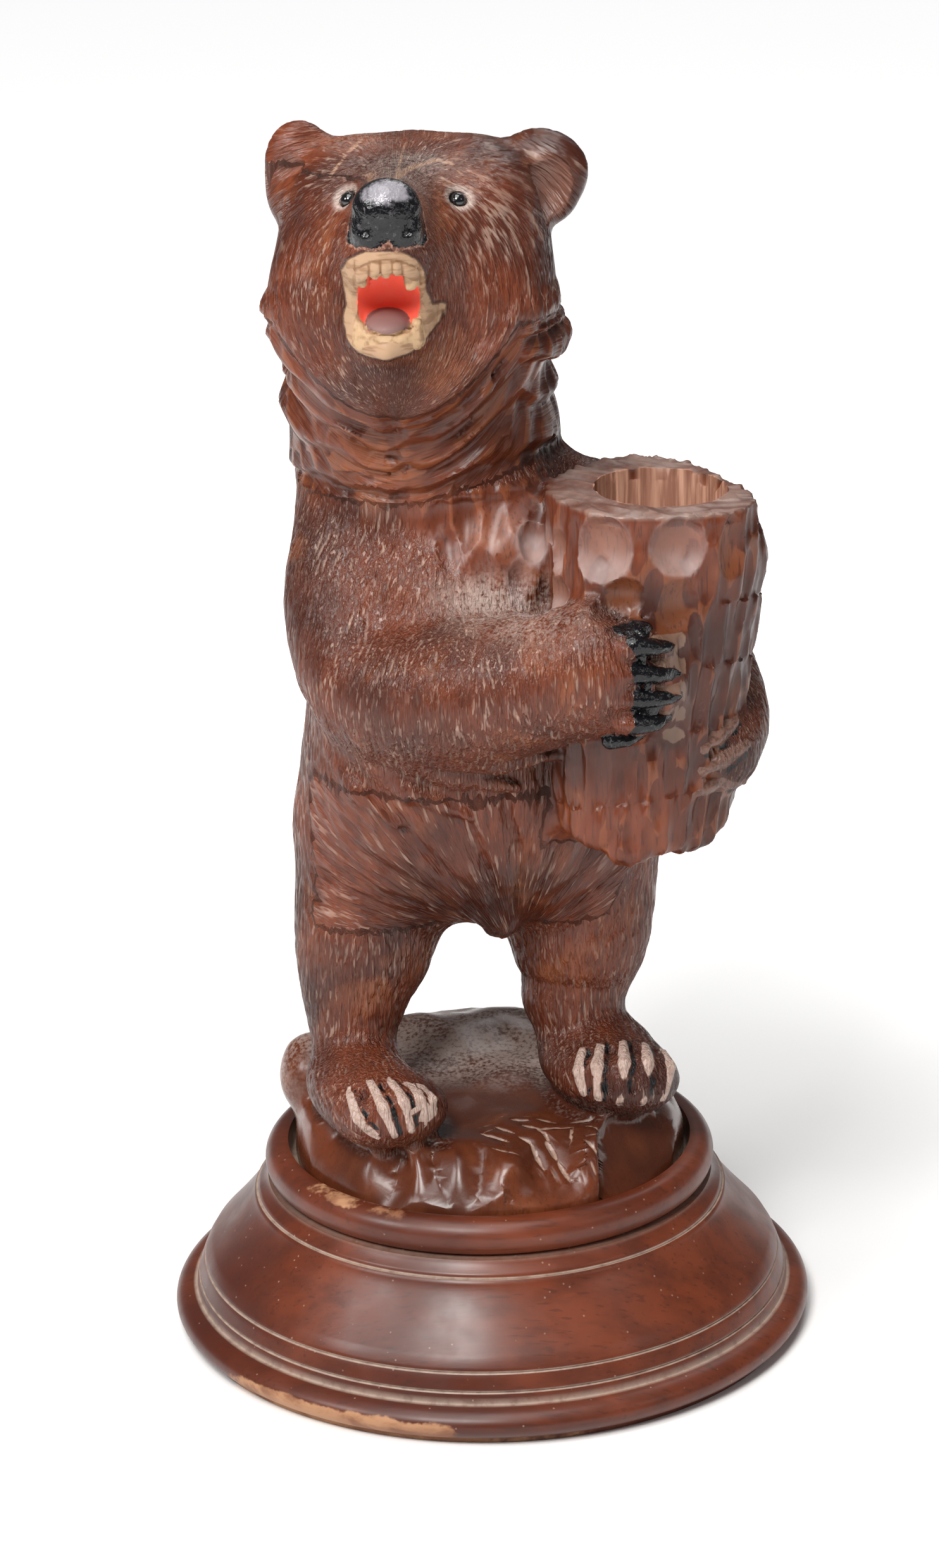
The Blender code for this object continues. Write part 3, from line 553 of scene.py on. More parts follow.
EYES = ((-33.4, -31.0, 278.8), (-1.6, -31.0, 278.3))
MOUTH = Ball((-20.9, -54, 253.4), (8.9, 14.5, 9.0))
MASSES = body_masses() + head_masses() + muzzle_masses() + ears()
MASSES += leg_masses() + arm_masses() + ground_masses()
ADDED = fringe() + foot_claws() + paw_claws()
IN_MOUTH = teeth() + tongue()
HOLLOWS = hollows()


def jaw_side(x, y):
    """How far to the side of the jaw, squared, for the swing of the ruffs."""
    return np.minimum(np.where(y < 4, np.abs(x + 20.0), 32.0), 32.0) ** 2


def ruff_edge(x, y):
    """Height of the edge of the face's ruff."""
    return 222.5 + 0.0215 * jaw_side(x, y)


def neck_folds(points):
    """Overlapping ruffs of fur round the neck: V-shaped in front under the jaw, level by the collar."""
    x, y, z = points.T
    side = jaw_side(x, y)
    drop = ruff_edge(x, y) - z
    bend = 0.0195 * side
    share = 2 * drop / (26.5 + np.sqrt(np.maximum(26.5**2 + 4 * bend * drop, 1.0)))
    wave = 0.16 * np.sin(0.17 * x + 0.9) + 0.10 * np.sin(0.33 * x - 0.21 * z + 1.0)
    phase = share * 4.0 + (wave + 0.4 * step(x, -23, -17)) * step(share, 0.0, 0.25)
    part = np.mod(phase, 1.0)
    ruff = part * (1 - step(part, 0.62, 1.0)) * 4.6 - 1.4
    face_edge = 2.2 * step(share, -0.35, -0.02) * (1 - step(share, 0.0, 0.10))
    reach = step(share, 0.0, 0.03) * (1 - step(share, 1.0, 1.06))
    around = np.hypot(x + 14.5, y - 4)
    collar = z - 0.27 * np.maximum(x + 16, 0)
    keep = step(collar, 186, 194) * (1 - step(around, 44, 50)) * (1 - step(x, 20, 27))
    back = 1 - 0.75 * step(y, 2, 22)
    return (ruff * reach * (0.8 + 0.2 * np.sin(0.23 * x + 2.0)) + face_edge) * keep * back


def belly_locks(points):
    """Long furrows of fur that sweep down the belly to the tuft between the legs."""
    x, y, z = points.T
    aim = np.arctan2(x - 8.5, np.maximum(z - 66.0, 1.0))
    reach = np.hypot(x - 8.5, z - 66.0)
    furrow = np.abs(np.sin(aim * 11.0 + 0.5 * np.sin(reach * 0.16)))
    keep = step(reach, 8, 18) * (1 - step(reach, 46, 60))
    keep = keep * (1 - step(y, -14, -6)) * (1 - step(np.abs(aim), 0.9, 1.15))
    return (furrow**0.7 - 0.6) * 2.0 * keep


def carve(points):
    """Signed distance in units from each point to the surface of the carving, negative inside."""
    depth = union_of(MASSES, points) - neck_folds(points) - belly_locks(points)
    for shapes, sign in ((ADDED, 1), ([(MOUTH, 0.8)], -1), (IN_MOUTH, 1), (HOLLOWS, -1)):
        work_shapes(depth, shapes, points, sign)
    return depth


def new_object(name, data):
    made = bpy.data.objects.new(name, data)
    bpy.context.scene.collection.objects.link(made)
    return made


def modified(mesh, kind, **settings):
    """The mesh as a modifier with these settings leaves it."""
    work = new_object("work", mesh)
    modifier = work.modifiers.new("work", kind)
    for name, value in settings.items():
        setattr(modifier, name, value)
    shown = work.evaluated_get(bpy.context.evaluated_depsgraph_get())
    made = bpy.data.meshes.new_from_object(shown)
    bpy.data.objects.remove(work)
    return made


def rows_of(items, field):
    """That vector of each item, as the rows of an array."""
    flat = np.empty(len(items) * 3, np.float32)
    items.foreach_get(field, flat)
    return flat.reshape(-1, 3).astype(float)


def get_points(mesh):
    return rows_of(mesh.vertices, "co")


def vertex_normals(mesh):
    return rows_of(mesh.vertex_normals, "vector")


def set_points(mesh, points):
    mesh.vertices.foreach_set("co", points.astype(np.float32).ravel())
    mesh.update()


def nearest_skin(shapes, points):
    """Signed distance to the nearest of some shapes, without blending."""
    return union_of([(shape, 0) for shape, _ in shapes], points)


def in_chunks(work, points):
    """Runs work on slices of the points that lie close together, so that far shapes are skipped."""
    result = np.empty(len(points))
    order = np.argsort(points[:, 2], kind="stable")
    for rows in np.array_split(order, max(1, len(points) // CHUNK)):
        result[rows] = work(points[rows])
    return result


def carved_depth(points):
    return in_chunks(carve_whole, points)


BORE_MOUTH = Trunk.top + np.array([1.5, -1.0, 0.0])


def from_bore_axis(points):
    return np.hypot(points[:, 0] - BORE_MOUTH[0], points[:, 1] - BORE_MOUTH[1])


def carve_whole(points):
    """The carving with its bore and its eye sockets."""
    depth = carve(points)
    out = from_bore_axis(points) - BORE_RADIUS / UNIT
    bore = np.maximum(out, BORE_MOUTH[2] - BORE_DEPTH / UNIT - points[:, 2])
    depth = smooth_max(depth, -bore, 0.4)
    for place in EYE_PLACES:
        socket = np.linalg.norm(points - place, axis=1) - (EYE_RADIUS + EYE_CLEARANCE) / UNIT
        depth = np.maximum(depth, -socket)
    return depth


def settle_fine(points):
    """Moves points onto the carving, reading the slope once every other round."""
    lean = None
    for turn in range(SETTLE_ROUNDS):
        depth = carved_depth(points)
        if turn % 2 == 0:
            shifted = [carved_depth(points + shift) for shift in np.eye(3) * SLOPE_STEP]
            lean = np.stack([(moved - depth) / SLOPE_STEP for moved in shifted], axis=1)
        move = np.clip(depth, -2.0, 2.0) / np.maximum((lean**2).sum(axis=1), 0.5)
        points = points - move[:, None] * lean
    return points, lean


def pressed(points):
    """Points inside a scooped gouge pressed straight into the wood, so that they settle on its floor."""
    for ball, _ in SCOOPS:
        local = (points - ball.centre) @ ball.axes
        across, out, high = (local / ball.radii).T
        room = 1 - across**2 - high**2
        floor = np.sqrt(np.maximum(room, 0))
        inside = (room > 0) & (out > -1.6) & (out < floor)
        local[inside, 1] = floor[inside] * ball.radii[1]
        points = np.where(inside[:, None], local @ ball.axes.T + ball.centre, points)
    return points


def untangled(mesh, points, lean):
    """Points relaxed among their neighbours where the skin has folded over itself while settling."""
    set_points(mesh, points)
    folded = (vertex_normals(mesh) * unit_rows(lean)).sum(axis=1) < FOLDED_BELOW
    ends = np.empty(len(mesh.edges) * 2, np.int32)
    mesh.edges.foreach_get("vertices", ends)
    ends = ends.reshape(-1, 2)
    for _ in range(FOLD_RINGS):
        folded[ends[folded[ends].any(axis=1)]] = True
    ends = ends[folded[ends].any(axis=1)]
    share = np.bincount(ends.ravel(), minlength=len(points))[:, None]
    for _ in range(RELAX_ROUNDS):
        total = np.zeros_like(points)
        np.add.at(total, ends[:, 0], points[ends[:, 1]])
        np.add.at(total, ends[:, 1], points[ends[:, 0]])
        points = np.where(folded[:, None], total / np.maximum(share, 1), points)
    return points


EYE_PLACES = [on_skin(*eye, lift=-0.9 * EYE_RADIUS / UNIT) for eye in EYES]


def skin_mesh():
    """The CAD carving as one even skin, settled onto the finer carving, in units above the seat."""
    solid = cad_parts["bear_carving"].data.copy()
    set_points(solid, (get_points(solid) - (0, 0, SEAT_Z)) / UNIT)
    mesh = modified(solid, "REMESH", mode="VOXEL", voxel_size=SKIN_VOXEL)
    set_points(mesh, untangled(mesh, *settle_fine(pressed(get_points(mesh)))))
    return mesh


# Strokes of the veiner and the gouge
BROW = np.array([-18.5, 281.0])
THROAT = np.array([-20.0, 222.0])
TUFT = np.array([8.5, 64.0])
COLLAR_Z = 197.0


def unit_rows(rows):
    return rows / np.maximum(np.linalg.norm(rows, axis=1), 1e-9)[:, None]


def places(points):
    """Shares from 0 to 1 of how far each point belongs to the head, the neck, the trunk and so on."""
    x, y, z = points.T
    trunk = in_chunks(lambda p: nearest_skin([(Trunk(), 0)], p), points)
    rock = in_chunks(lambda p: nearest_skin([(Rock(), 0), (GROUND_LUMP, 0)], p), points)
    bear = in_chunks(lambda p: nearest_skin(BEAR_MASSES, p), points)
    edge = ruff_edge(x, y)
    head = step(z, edge - 3.0, edge + 1.5)
    collar = COLLAR_Z + 0.27 * np.maximum(x + 16, 0)
    neck = (1 - head) * step(z, collar - 5, collar) * (1 - step(x, 20, 27))
    in_trunk = step(bear - trunk, -0.6, 0.8)
    in_rock = step(bear - rock, -0.6, 0.8) * (1 - step(z, 44, 48))
    front = 1 - step(y, -14, -6)
    chest = step(x + 29 - 0.96 * (200 - z), -2, 4) * step(z, 172, 178) * (1 - step(z, 197, 202)) * front
    thigh = step(x, -22, -14) * step(z, 60, 70) * (1 - step(z, 86, 98)) * (1 - step(y, -8, 2))
    nicks = step(x, -4, 2) * (1 - step(x, 26, 34)) * step(-y, 20, 26) * (1 - step(-y, 42, 46))
    return {
        "head": head,
        "neck": neck,
        "trunk": in_trunk * (1 - in_rock) * (1 - head),
        "rock": in_rock,
        "foot": (1 - step(z, 36, 46)) * (1 - in_rock),
        "belly": step(z, 68, 78) * (1 - step(z, 112, 124)) * front * (1 - in_trunk),
        "ear": 1 - step(nearest_skin(ears(), points), 0.5, 2.5),
        "chest": chest * (1 - neck) * (1 - in_trunk),
        "thigh": thigh * (1 - in_trunk),
        "nicks": in_rock * nicks,
    }


BEAR_MASSES = body_masses() + head_masses() + muzzle_masses() + ears() + leg_masses() + arm_masses()
GROUND_LUMP = ground_masses()[2][0]
SCOOPS = hollows()[-9:]


def paw_wedges():
    """Slivers of bare wood left between the claws of the paw held out in front."""
    wedges = []
    for high, reach in ((166.8, 53.0), (160.4, 54.6), (153.2, 55.6), (146.4, 54.8), (140.6, 51.5)):
        root, tip = (reach, -49.6, high - 3.2), (43.6, -54.6, high - 1.2)
        middle = ((reach + 43.6) / 2, -52.6, high - 2.2)
        wedges.append((Limb((*root, 2.6), (*middle, 2.1), (*tip, 0.8)), 0.3))
    return wedges


ADDED += paw_wedges()


def flow(points, normals, where):
    """The way the fur lies at each point, as unit vectors along the surface."""
    x, y, z = points.T
    flat = points[:, [0, 2]]
    out = flat - BROW
    out = out / np.maximum((out**2).sum(axis=1), 16.0)[:, None]
    into = THROAT - flat
    into = into / np.maximum((into**2).sum(axis=1), 16.0)[:, None]
    face = unit_rows(out + into)
    face = np.stack([face[:, 0], np.zeros(len(x)), face[:, 1]], axis=1)
    back = step(y, -6, 22)[:, None]
    crown = step(z, 272, 284)[:, None]
    face = face * (1 - back) + back * np.array([0.0, 0.35, -1.0]) + crown * np.array([0.0, 0.9, 0.0])
    side = np.clip((x + 20.0) / 14.0, -1.0, 1.0)
    neck = np.stack([-side, -0.2 + 0 * x, -0.043 * np.abs(x + 20.0) * np.abs(side) - 0.12], axis=1)
    neck = neck * (1 - back) + back * np.array([0.0, 0.1, -1.0])
    lean = 0.14 * np.sin(0.06 * x + 0.8) + 0.10 * np.sin(0.09 * z)
    fall = np.stack([lean, 0 * x, -1 + 0 * x], axis=1)
    fall[:, 0] -= 0.5 * where["thigh"]
    to_tuft = TUFT - flat
    tuft = unit_rows(np.stack([to_tuft[:, 0], 0 * x, to_tuft[:, 1]], axis=1))
    forward = np.stack([0.05 + 0 * x, -1 + 0 * x, -0.6 + 0 * x], axis=1)
    way = fall
    for name, lie in (("neck", neck), ("head", face), ("belly", tuft), ("foot", forward)):
        share = where[name][:, None]
        way = way * (1 - share) + lie * share
    way = way - (way * normals).sum(axis=1)[:, None] * normals
    weak = np.linalg.norm(way, axis=1) < 0.15
    down = np.array([0.0, 0.0, -1.0]) + normals * normals[:, 2:]
    way[weak] = down[weak] + 0.01
    return unit_rows(way)


# Cuts of each tool: length, width, depth and the least gap to the next cut, in units
GOUGE_CUTS = {
    "trunk": (17.0, 4.8, 0.70, 3.7),
    "chest": (18.0, 6.4, 0.80, 5.0),
    "neck": (24.0, 4.6, 0.75, 7.0),
    "belly": (17.0, 4.6, 0.85, 3.6),
    "thigh": (15.0, 4.4, 0.50, 4.2),
}
VEINER_CUTS = {
    "rest": (7.5, 1.45, 0.46, 1.55),
    "head": (8.0, 1.30, 0.36, 1.35),
    "foot": (6.0, 1.60, 0.42, 1.9),
    "ear": (7.0, 1.6, 0.20, 2.6),
    "nicks": (9.0, 1.7, 1.0, 4.6),
}


def cut_sizes(points, where, cuts):
    """Length, width, depth and gap of the cut at each point, later kinds over earlier ones."""
    sizes = None
    for name, size in cuts.items():
        row = np.array(size)
        if sizes is None:
            sizes = np.tile(row, (len(points), 1))
        else:
            share = where[name][:, None]
            sizes = sizes * (1 - share) + row * share
    return sizes


def gouge_room(points, where):
    """Share of each point that the wide gouge cuts: trunk, hewn chest, ruffs, belly and inner thigh."""
    scoops = nearest_skin(SCOOPS, points)
    claws = np.maximum(where["claws"], where["bore"])
    room = np.maximum.reduce([where[name] for name in ("trunk", "chest", "neck", "belly", "thigh")])
    return room * (1 - where["rock"]) * (1 - claws) * step(scoops, 0.4, 1.6) * (1 - where["muzzle"])


def veiner_room(points, where):
    """Share of each point that carries fine strokes of fur."""
    smooth = np.maximum.reduce([where["trunk"], where["chest"], where["neck"], 0.8 * where["belly"]])
    smooth = np.maximum(smooth, step(-points[:, 1], 2, 5) * where["ear"] * 0.8)
    smooth = np.maximum(smooth, where["rock"] * (1 - where["nicks"]))
    for name in ("muzzle", "claws", "bore"):
        smooth = np.maximum(smooth, where[name])
    return 1 - smooth


def seeds(points, ways, sizes, room, generator):
    """Cuts chosen at random that keep their gap across the fur and a share of their length along it."""
    kept = {}
    chosen = []
    tries = generator.permutation(np.flatnonzero(room))[:STROKE_TRIES]
    cells = np.floor(points / STROKE_CELL).astype(int)
    for at in tries.tolist():
        here = points[at]
        way = ways[at]
        length, _, _, gap = sizes[at]
        i, j, k = cells[at]
        cells_near = itertools.product((i - 1, i, i + 1), (j - 1, j, j + 1), (k - 1, k, k + 1))
        near = [other for cell in cells_near for other in kept.get(cell, ())]
        if near:
            apart = points[near] - here
            along = apart @ way
            across = np.sqrt(np.maximum((apart**2).sum(axis=1) - along**2, 0))
            if ((across / gap) ** 2 + (along / (length * STROKE_APART)) ** 2).min() < 1:
                continue
        kept.setdefault((i, j, k), []).append(at)
        chosen.append(at)
    return chosen


def tree_of(points):
    tree = KDTree(len(points))
    for i, point in enumerate(points.tolist()):
        tree.insert(point, i)
    tree.balance()
    return tree


# How far chance changes a cut: length, width, depth, turn and bend
CHANCES = (0.35, 0.25, 0.35, 0.16, 0.012)


def cut_depth(points, normals, ways, sizes, room, generator, hollow_ground):
    """Depth of one tool's cuts at each point, V-shaped, or round where the tool is hollow-ground."""
    tree = tree_of(points)
    depth = np.zeros(len(points))
    chosen = seeds(points, ways, sizes, room > 0.35, generator)
    spread = generator.uniform(-1, 1, (len(chosen), len(CHANCES))) * CHANCES
    for at, (longer, wider, deeper, turn, bend) in zip(chosen, spread):
        length, width, deep, _ = sizes[at]
        length *= 1 + longer
        width *= 1 + wider
        deep *= (1 + deeper) * room[at]
        found = tree.find_range(points[at].tolist(), length * STROKE_REACH)
        near = np.array([index for _, index, _ in found])
        apart = points[near] - points[at]
        across_way = np.cross(normals[at], ways[at])
        along_way = ways[at] * math.cos(turn) + across_way * math.sin(turn)
        across_way = np.cross(normals[at], along_way)
        along = apart @ along_way
        across = apart @ across_way + bend * along**2
        share = 2 * along / length
        leaf = np.clip(1 - share**2, 0, 1) * (1 - 0.25 * share)
        side = np.abs(across) / np.maximum(0.5 * width * leaf**0.5, 0.05)
        profile = 1 - side**2 if hollow_ground else 1 - side
        cut = deep * leaf**0.8 * profile
        cut[np.abs(apart @ normals[at]) > STROKE_SINK] = 0
        depth[near] = np.maximum(depth[near], cut)
    return depth


def tooth_lines(points):
    """Distance from the cuts that part the upper teeth and mark them off from the lip."""
    x, y, z = points.T
    lines = [np.maximum(np.abs(x - at), np.maximum(z - 265.4, 256.0 - z)) for at in TOOTH_CUTS]
    gum = 265.9 - 0.045 * (x - MOUTH_X) ** 2
    lines.append(np.maximum(np.abs(z - gum), np.abs(x - MOUTH_X) - 8.2))
    lines.append(np.maximum(np.abs(z - 245.6 - 0.05 * (x - MOUTH_X) ** 2), np.abs(x - MOUTH_X) - 6.0))
    return np.where(y < -42, np.minimum.reduce(lines), FAR)


TOOTH_CUTS = (-29.2, -25.4, -22.5, -19.7, -17.0, -12.6)
MOUTH_X = -21.0


def chiselled_rock(points, where):
    """Low flat marks of the chisel on the rock."""
    x, y, z = points.T
    marks = 0.22 * np.abs(np.sin(0.33 * x + 0.21 * y + 0.4)) + 0.18 * np.abs(np.sin(0.27 * y - 0.2 * z))
    return marks * where["rock"] * (1 - step(-y, 30, 38))


# Centre of the pale patch on the top of the nose, partly worn paint and partly painted highlight
NOSE_TOP_PATCH = np.array([-20.6, -57.0, 282.5])

# Thin scratches over the brow, in the front view
SCRATCHES = (
    ((-35.5, 280.9), (-30.9, 285.7), (-24.1, 289.0), (-18.5, 289.9), (-13.2, 289.8)),
    ((-26.3, 281.9), (-21.8, 283.0), (-15.2, 283.8), (-8.2, 283.8), (-4.7, 283.2), (-1.9, 280.8)),
    ((-18.9, 282.5), (-16.2, 286.8), (-14.2, 290.1), (-11.6, 291.6)),
)


def scratches(x, z):
    """Distance in the front view to the nearest scratch."""
    at = np.stack([x, z], axis=1)
    nearest = np.full(len(x), 3.0)
    for line in SCRATCHES:
        for start, end in zip(line, line[1:]):
            nearest = np.minimum(nearest, to_line(at, start, end)[0])
    return nearest


def polygon_field(x, z, corners):
    """Signed distance to a closed outline in the front view, positive inside."""
    corners = np.array(corners, float)
    at = np.stack([x, z], axis=1)
    nearest = np.full(len(x), FAR)
    inside = np.zeros(len(x), bool)
    for a, b in zip(corners, np.roll(corners, -1, axis=0)):
        nearest = np.minimum(nearest, to_line(at, a, b)[0])
        crosses = (a[1] > at[:, 1]) != (b[1] > at[:, 1])
        rise = b[1] - a[1] if b[1] != a[1] else 1e-9
        inside ^= crosses & (at[:, 0] < a[0] + (at[:, 1] - a[1]) / rise * (b[0] - a[0]))
    return np.where(inside, nearest, -nearest)


LIPS = (
    (-21.4, 268.3), (-26.5, 268.0), (-30.8, 265.4), (-32.9, 261.5), (-32.3, 256.0),
    (-31.6, 252.5), (-32.9, 248.5), (-31.6, 243.6), (-28.6, 240.2), (-22.0, 239.4),
    (-15.5, 240.6), (-11.6, 244.0), (-6.4, 248.4), (-6.4, 251.4), (-9.8, 252.0),
    (-11.2, 256.5), (-11.4, 262.0), (-13.4, 265.6), (-16.4, 267.8),
)


def paint_fields(points):
    """How far inside each painted or special area a point is, in units, negative outside."""
    x, y, z = points.T
    far = -8.0
    front = y < -30
    pad = nearest_skin(muzzle_masses()[3:6], points)
    nose = np.minimum(2.0 - pad, z - 269.0)
    lips = np.minimum(polygon_field(x, z, LIPS), -34.0 - y)
    buried = -1.1 - in_chunks(lambda p: union_of(MASSES, p), points)
    inside = np.minimum.reduce([0.9 - MOUTH.distance(points), 262.2 - z, z - 245.4, buried])
    tooth = 0.45 - nearest_skin(teeth(), points)
    tongue_field = 0.35 - nearest_skin(tongue(), points)
    red = np.minimum(np.minimum(inside, -tooth), -tongue_field)
    foot_claw = 0.35 - nearest_skin(foot_claws(), points)
    all_paw = paw_claws()
    paw = 0.45 - nearest_skin(all_paw[:6], points)
    far_paw = 0.40 - nearest_skin(all_paw[6:], points)
    between_toes = np.minimum(0.35 - nearest_skin(foot_claws(), points - (1.5, 0, 0)), 0.2 - foot_claw)
    between_far = np.minimum(0.35 - nearest_skin(all_paw[6:], points - (1.0, 0, -1.2)), 0.2 - far_paw)
    wedge = np.minimum(0.5 - nearest_skin(paw_wedges(), points), 53.4 - x)
    from_bore = from_bore_axis(points)
    bore = np.minimum(BORE_RADIUS / UNIT + 0.35 - from_bore, z - BORE_MOUTH[2] + BORE_DEPTH / UNIT + 0.6)
    rim = np.minimum(z - Trunk().rim(points) + 1.2, 34.0 - from_bore)
    eye = np.min([np.linalg.norm(points - place, axis=1) for place in EYE_PLACES], axis=0)
    fields = {
        "nose": nose,
        "lips": np.where(front, lips, far),
        "red": np.where(front, red, far),
        "tongue": np.where(front, np.minimum(tongue_field, 0.9 - MOUTH.distance(points)), far),
        "tooth": np.where(front, tooth, far),
        "foot_claw": foot_claw,
        "paw_claw": paw,
        "far_claw": far_paw,
        "black_gap": np.maximum(between_toes, between_far),
        "wedge": np.minimum(wedge, 0.3 - paw),
        "tooth_line": 0.6 - tooth_lines(points),
        "bore": bore,
        "rim": rim,
        "eye_ring": 5.2 - eye,
    }
    return {name: np.clip(field, far, 8.0) for name, field in fields.items()}


def add_fields(mesh, fields):
    """Writes each field on the mesh, a number or a vector for each point."""
    for name, values in fields.items():
        kind, part = ("FLOAT", "value") if values.ndim == 1 else ("FLOAT_VECTOR", "vector")
        layer = mesh.attributes.new(name, kind, "POINT")
        layer.data.foreach_set(part, values.astype(np.float32).ravel())


def transferred(from_points, values, to_points):
    """Values of the nearest of from_points."""
    tree = tree_of(from_points)
    return values[[tree.find(point)[1] for point in to_points.tolist()]]


def carved_piece():
    """The carving with its fur cut stroke by stroke, as one closed mesh with what its finish needs."""
    generator = np.random.default_rng(SEED)
    mesh = skin_mesh()
    points = get_points(mesh)
    normals = vertex_normals(mesh)
    where = places(points)
    painted = paint_fields(points)
    where["muzzle"] = np.maximum(step(painted["nose"], -2.5, 0), step(painted["lips"], -1.5, 0))
    claws = np.maximum.reduce([painted["foot_claw"], painted["paw_claw"], painted["far_claw"]])
    where["claws"] = step(claws, -2.2, -0.8)
    where["bore"] = np.maximum(step(painted["bore"], -2, 0), step(painted["eye_ring"], 0, 2.0))
    where["bore"] = np.maximum(where["bore"], 1 - step(points[:, 2], 1.0, 5.0))
    ways = flow(points, normals, where)
    skin = (points, normals, ways)
    gouged = (cut_sizes(points, where, GOUGE_CUTS), gouge_room(points, where))
    gouges = cut_depth(*skin, *gouged, generator, True)
    veined = (cut_sizes(points, where, VEINER_CUTS), veiner_room(points, where))
    veins = cut_depth(*skin, *veined, generator, False)
    marks = chiselled_rock(points, where) * step(points[:, 2], 2.0, 8.0)
    marks = marks + 0.55 * np.clip(1 - tooth_lines(points) / 0.7, 0, 1)
    moved = points - normals * (gouges + veins + marks)[:, None]
    set_points(mesh, moved)
    fine = modified(mesh, "DECIMATE", ratio=FINEST_TRIANGLES / (2 * len(mesh.polygons)))
    at = get_points(fine)
    at[:, 2] = np.minimum(at[:, 2], (cad_box[1][2] - SEAT_Z) / UNIT)
    cuts = transferred(moved, np.stack([veins, gouges], axis=1), at)
    finish_fields(fine, at, cuts)
    set_points(fine, at * UNIT + (0, 0, SEAT_Z))
    return fine


def fur_way(points, where):
    """A place along and across the fur for the finest lines, which swing round brow, ruffs and tuft."""
    x, y, z = points.T
    flat = points[:, [0, 2]]
    out, into = flat - BROW, flat - THROAT
    across = np.arctan2(out[:, 1], out[:, 0]) - np.arctan2(into[:, 1], into[:, 0])
    along = np.log((out**2).sum(axis=1) + 4) - np.log((into**2).sum(axis=1) + 4)
    face = np.stack([across * 32.0, along * 2.6, 0.02 * y], axis=1)
    ruff = np.stack([1.1 * (z - ruff_edge(x, y)), 0.09 * x, 0.05 * y], axis=1)
    aim = np.arctan2(x - TUFT[0], np.maximum(z - TUFT[1], 1.0))
    reach = np.hypot(x - TUFT[0], z - TUFT[1])
    belly = np.stack([aim * 36.0, 0.12 * reach, 0.10 * y], axis=1)
    way = np.stack([1.15 * x, 1.15 * y, 0.13 * z], axis=1)
    for name, lie in (("belly", belly), ("neck", ruff), ("head", face)):
        here = where[name] > 0.5
        way[here] = lie[here]
    return way


def finish_fields(mesh, points, cuts):
    """Writes on the mesh what the finish reads: paint, fur flow, dust and hollows."""
    normals = vertex_normals(mesh)
    where = places(points)
    x, y, z = points.T
    # How far each point lies in a hollow or a deep crease; the finish reads these for painted shade, for
    # settled dust and for painted light in the ear cups
    hollow = np.clip(1 - carved_depth(points + normals * 3.0) / 3.0, 0, 1)
    deep = np.clip(1 - carved_depth(points + normals * 8.0) / 8.0, 0, 1)
    crown = 0.6 * step(z, 284, 290) * (1 - step(np.abs(x + 31), 8, 18)) * (1 - where["ear"])
    valley = hill(z, 171.0, 5.0) * hill(x, 6.0, 16.0) * step(-y, 20, 30) * (1 - where["trunk"])
    behind = where["rock"] * step(y, -8, 14)
    brow = 0.55 * hill(x, -17.0, 12.0) * hill(z, 284.0, 5.0) * step(-y, 10, 20)
    bowl = np.clip(1.4 - np.abs(nearest_skin(SCOOPS[:6], points)), 0, 1)
    from_nose_patch = np.linalg.norm((points - NOSE_TOP_PATCH) / (7.0, 6.0, 3.4), axis=1)
    fields = {name: where[name] for name in ("trunk", "rock", "chest", "neck", "ear")}
    add_fields(mesh, {
        **paint_fields(points),
        **fields,
        "dusty": np.maximum.reduce([crown, valley, 0.8 * behind, brow]),
        "scratch": np.where(y < -6, scratches(x, z), 3.0),
        "bowl": bowl * (0.50 + 0.50 * step(normals[:, 2], -0.1, 0.6)),
        "cheek": hill(x, 5.0, 8.0) * hill(z, 269.0, 10.0) * step(-y, 6, 14),
        "nose_top": np.clip(1.6 - from_nose_patch, 0, 1.5),
        "groove": cuts[:, 0],
        "gouge": cuts[:, 1],
        "hollow": hollow,
        "deep": deep,
        "fur_way": fur_way(points, where),
    })


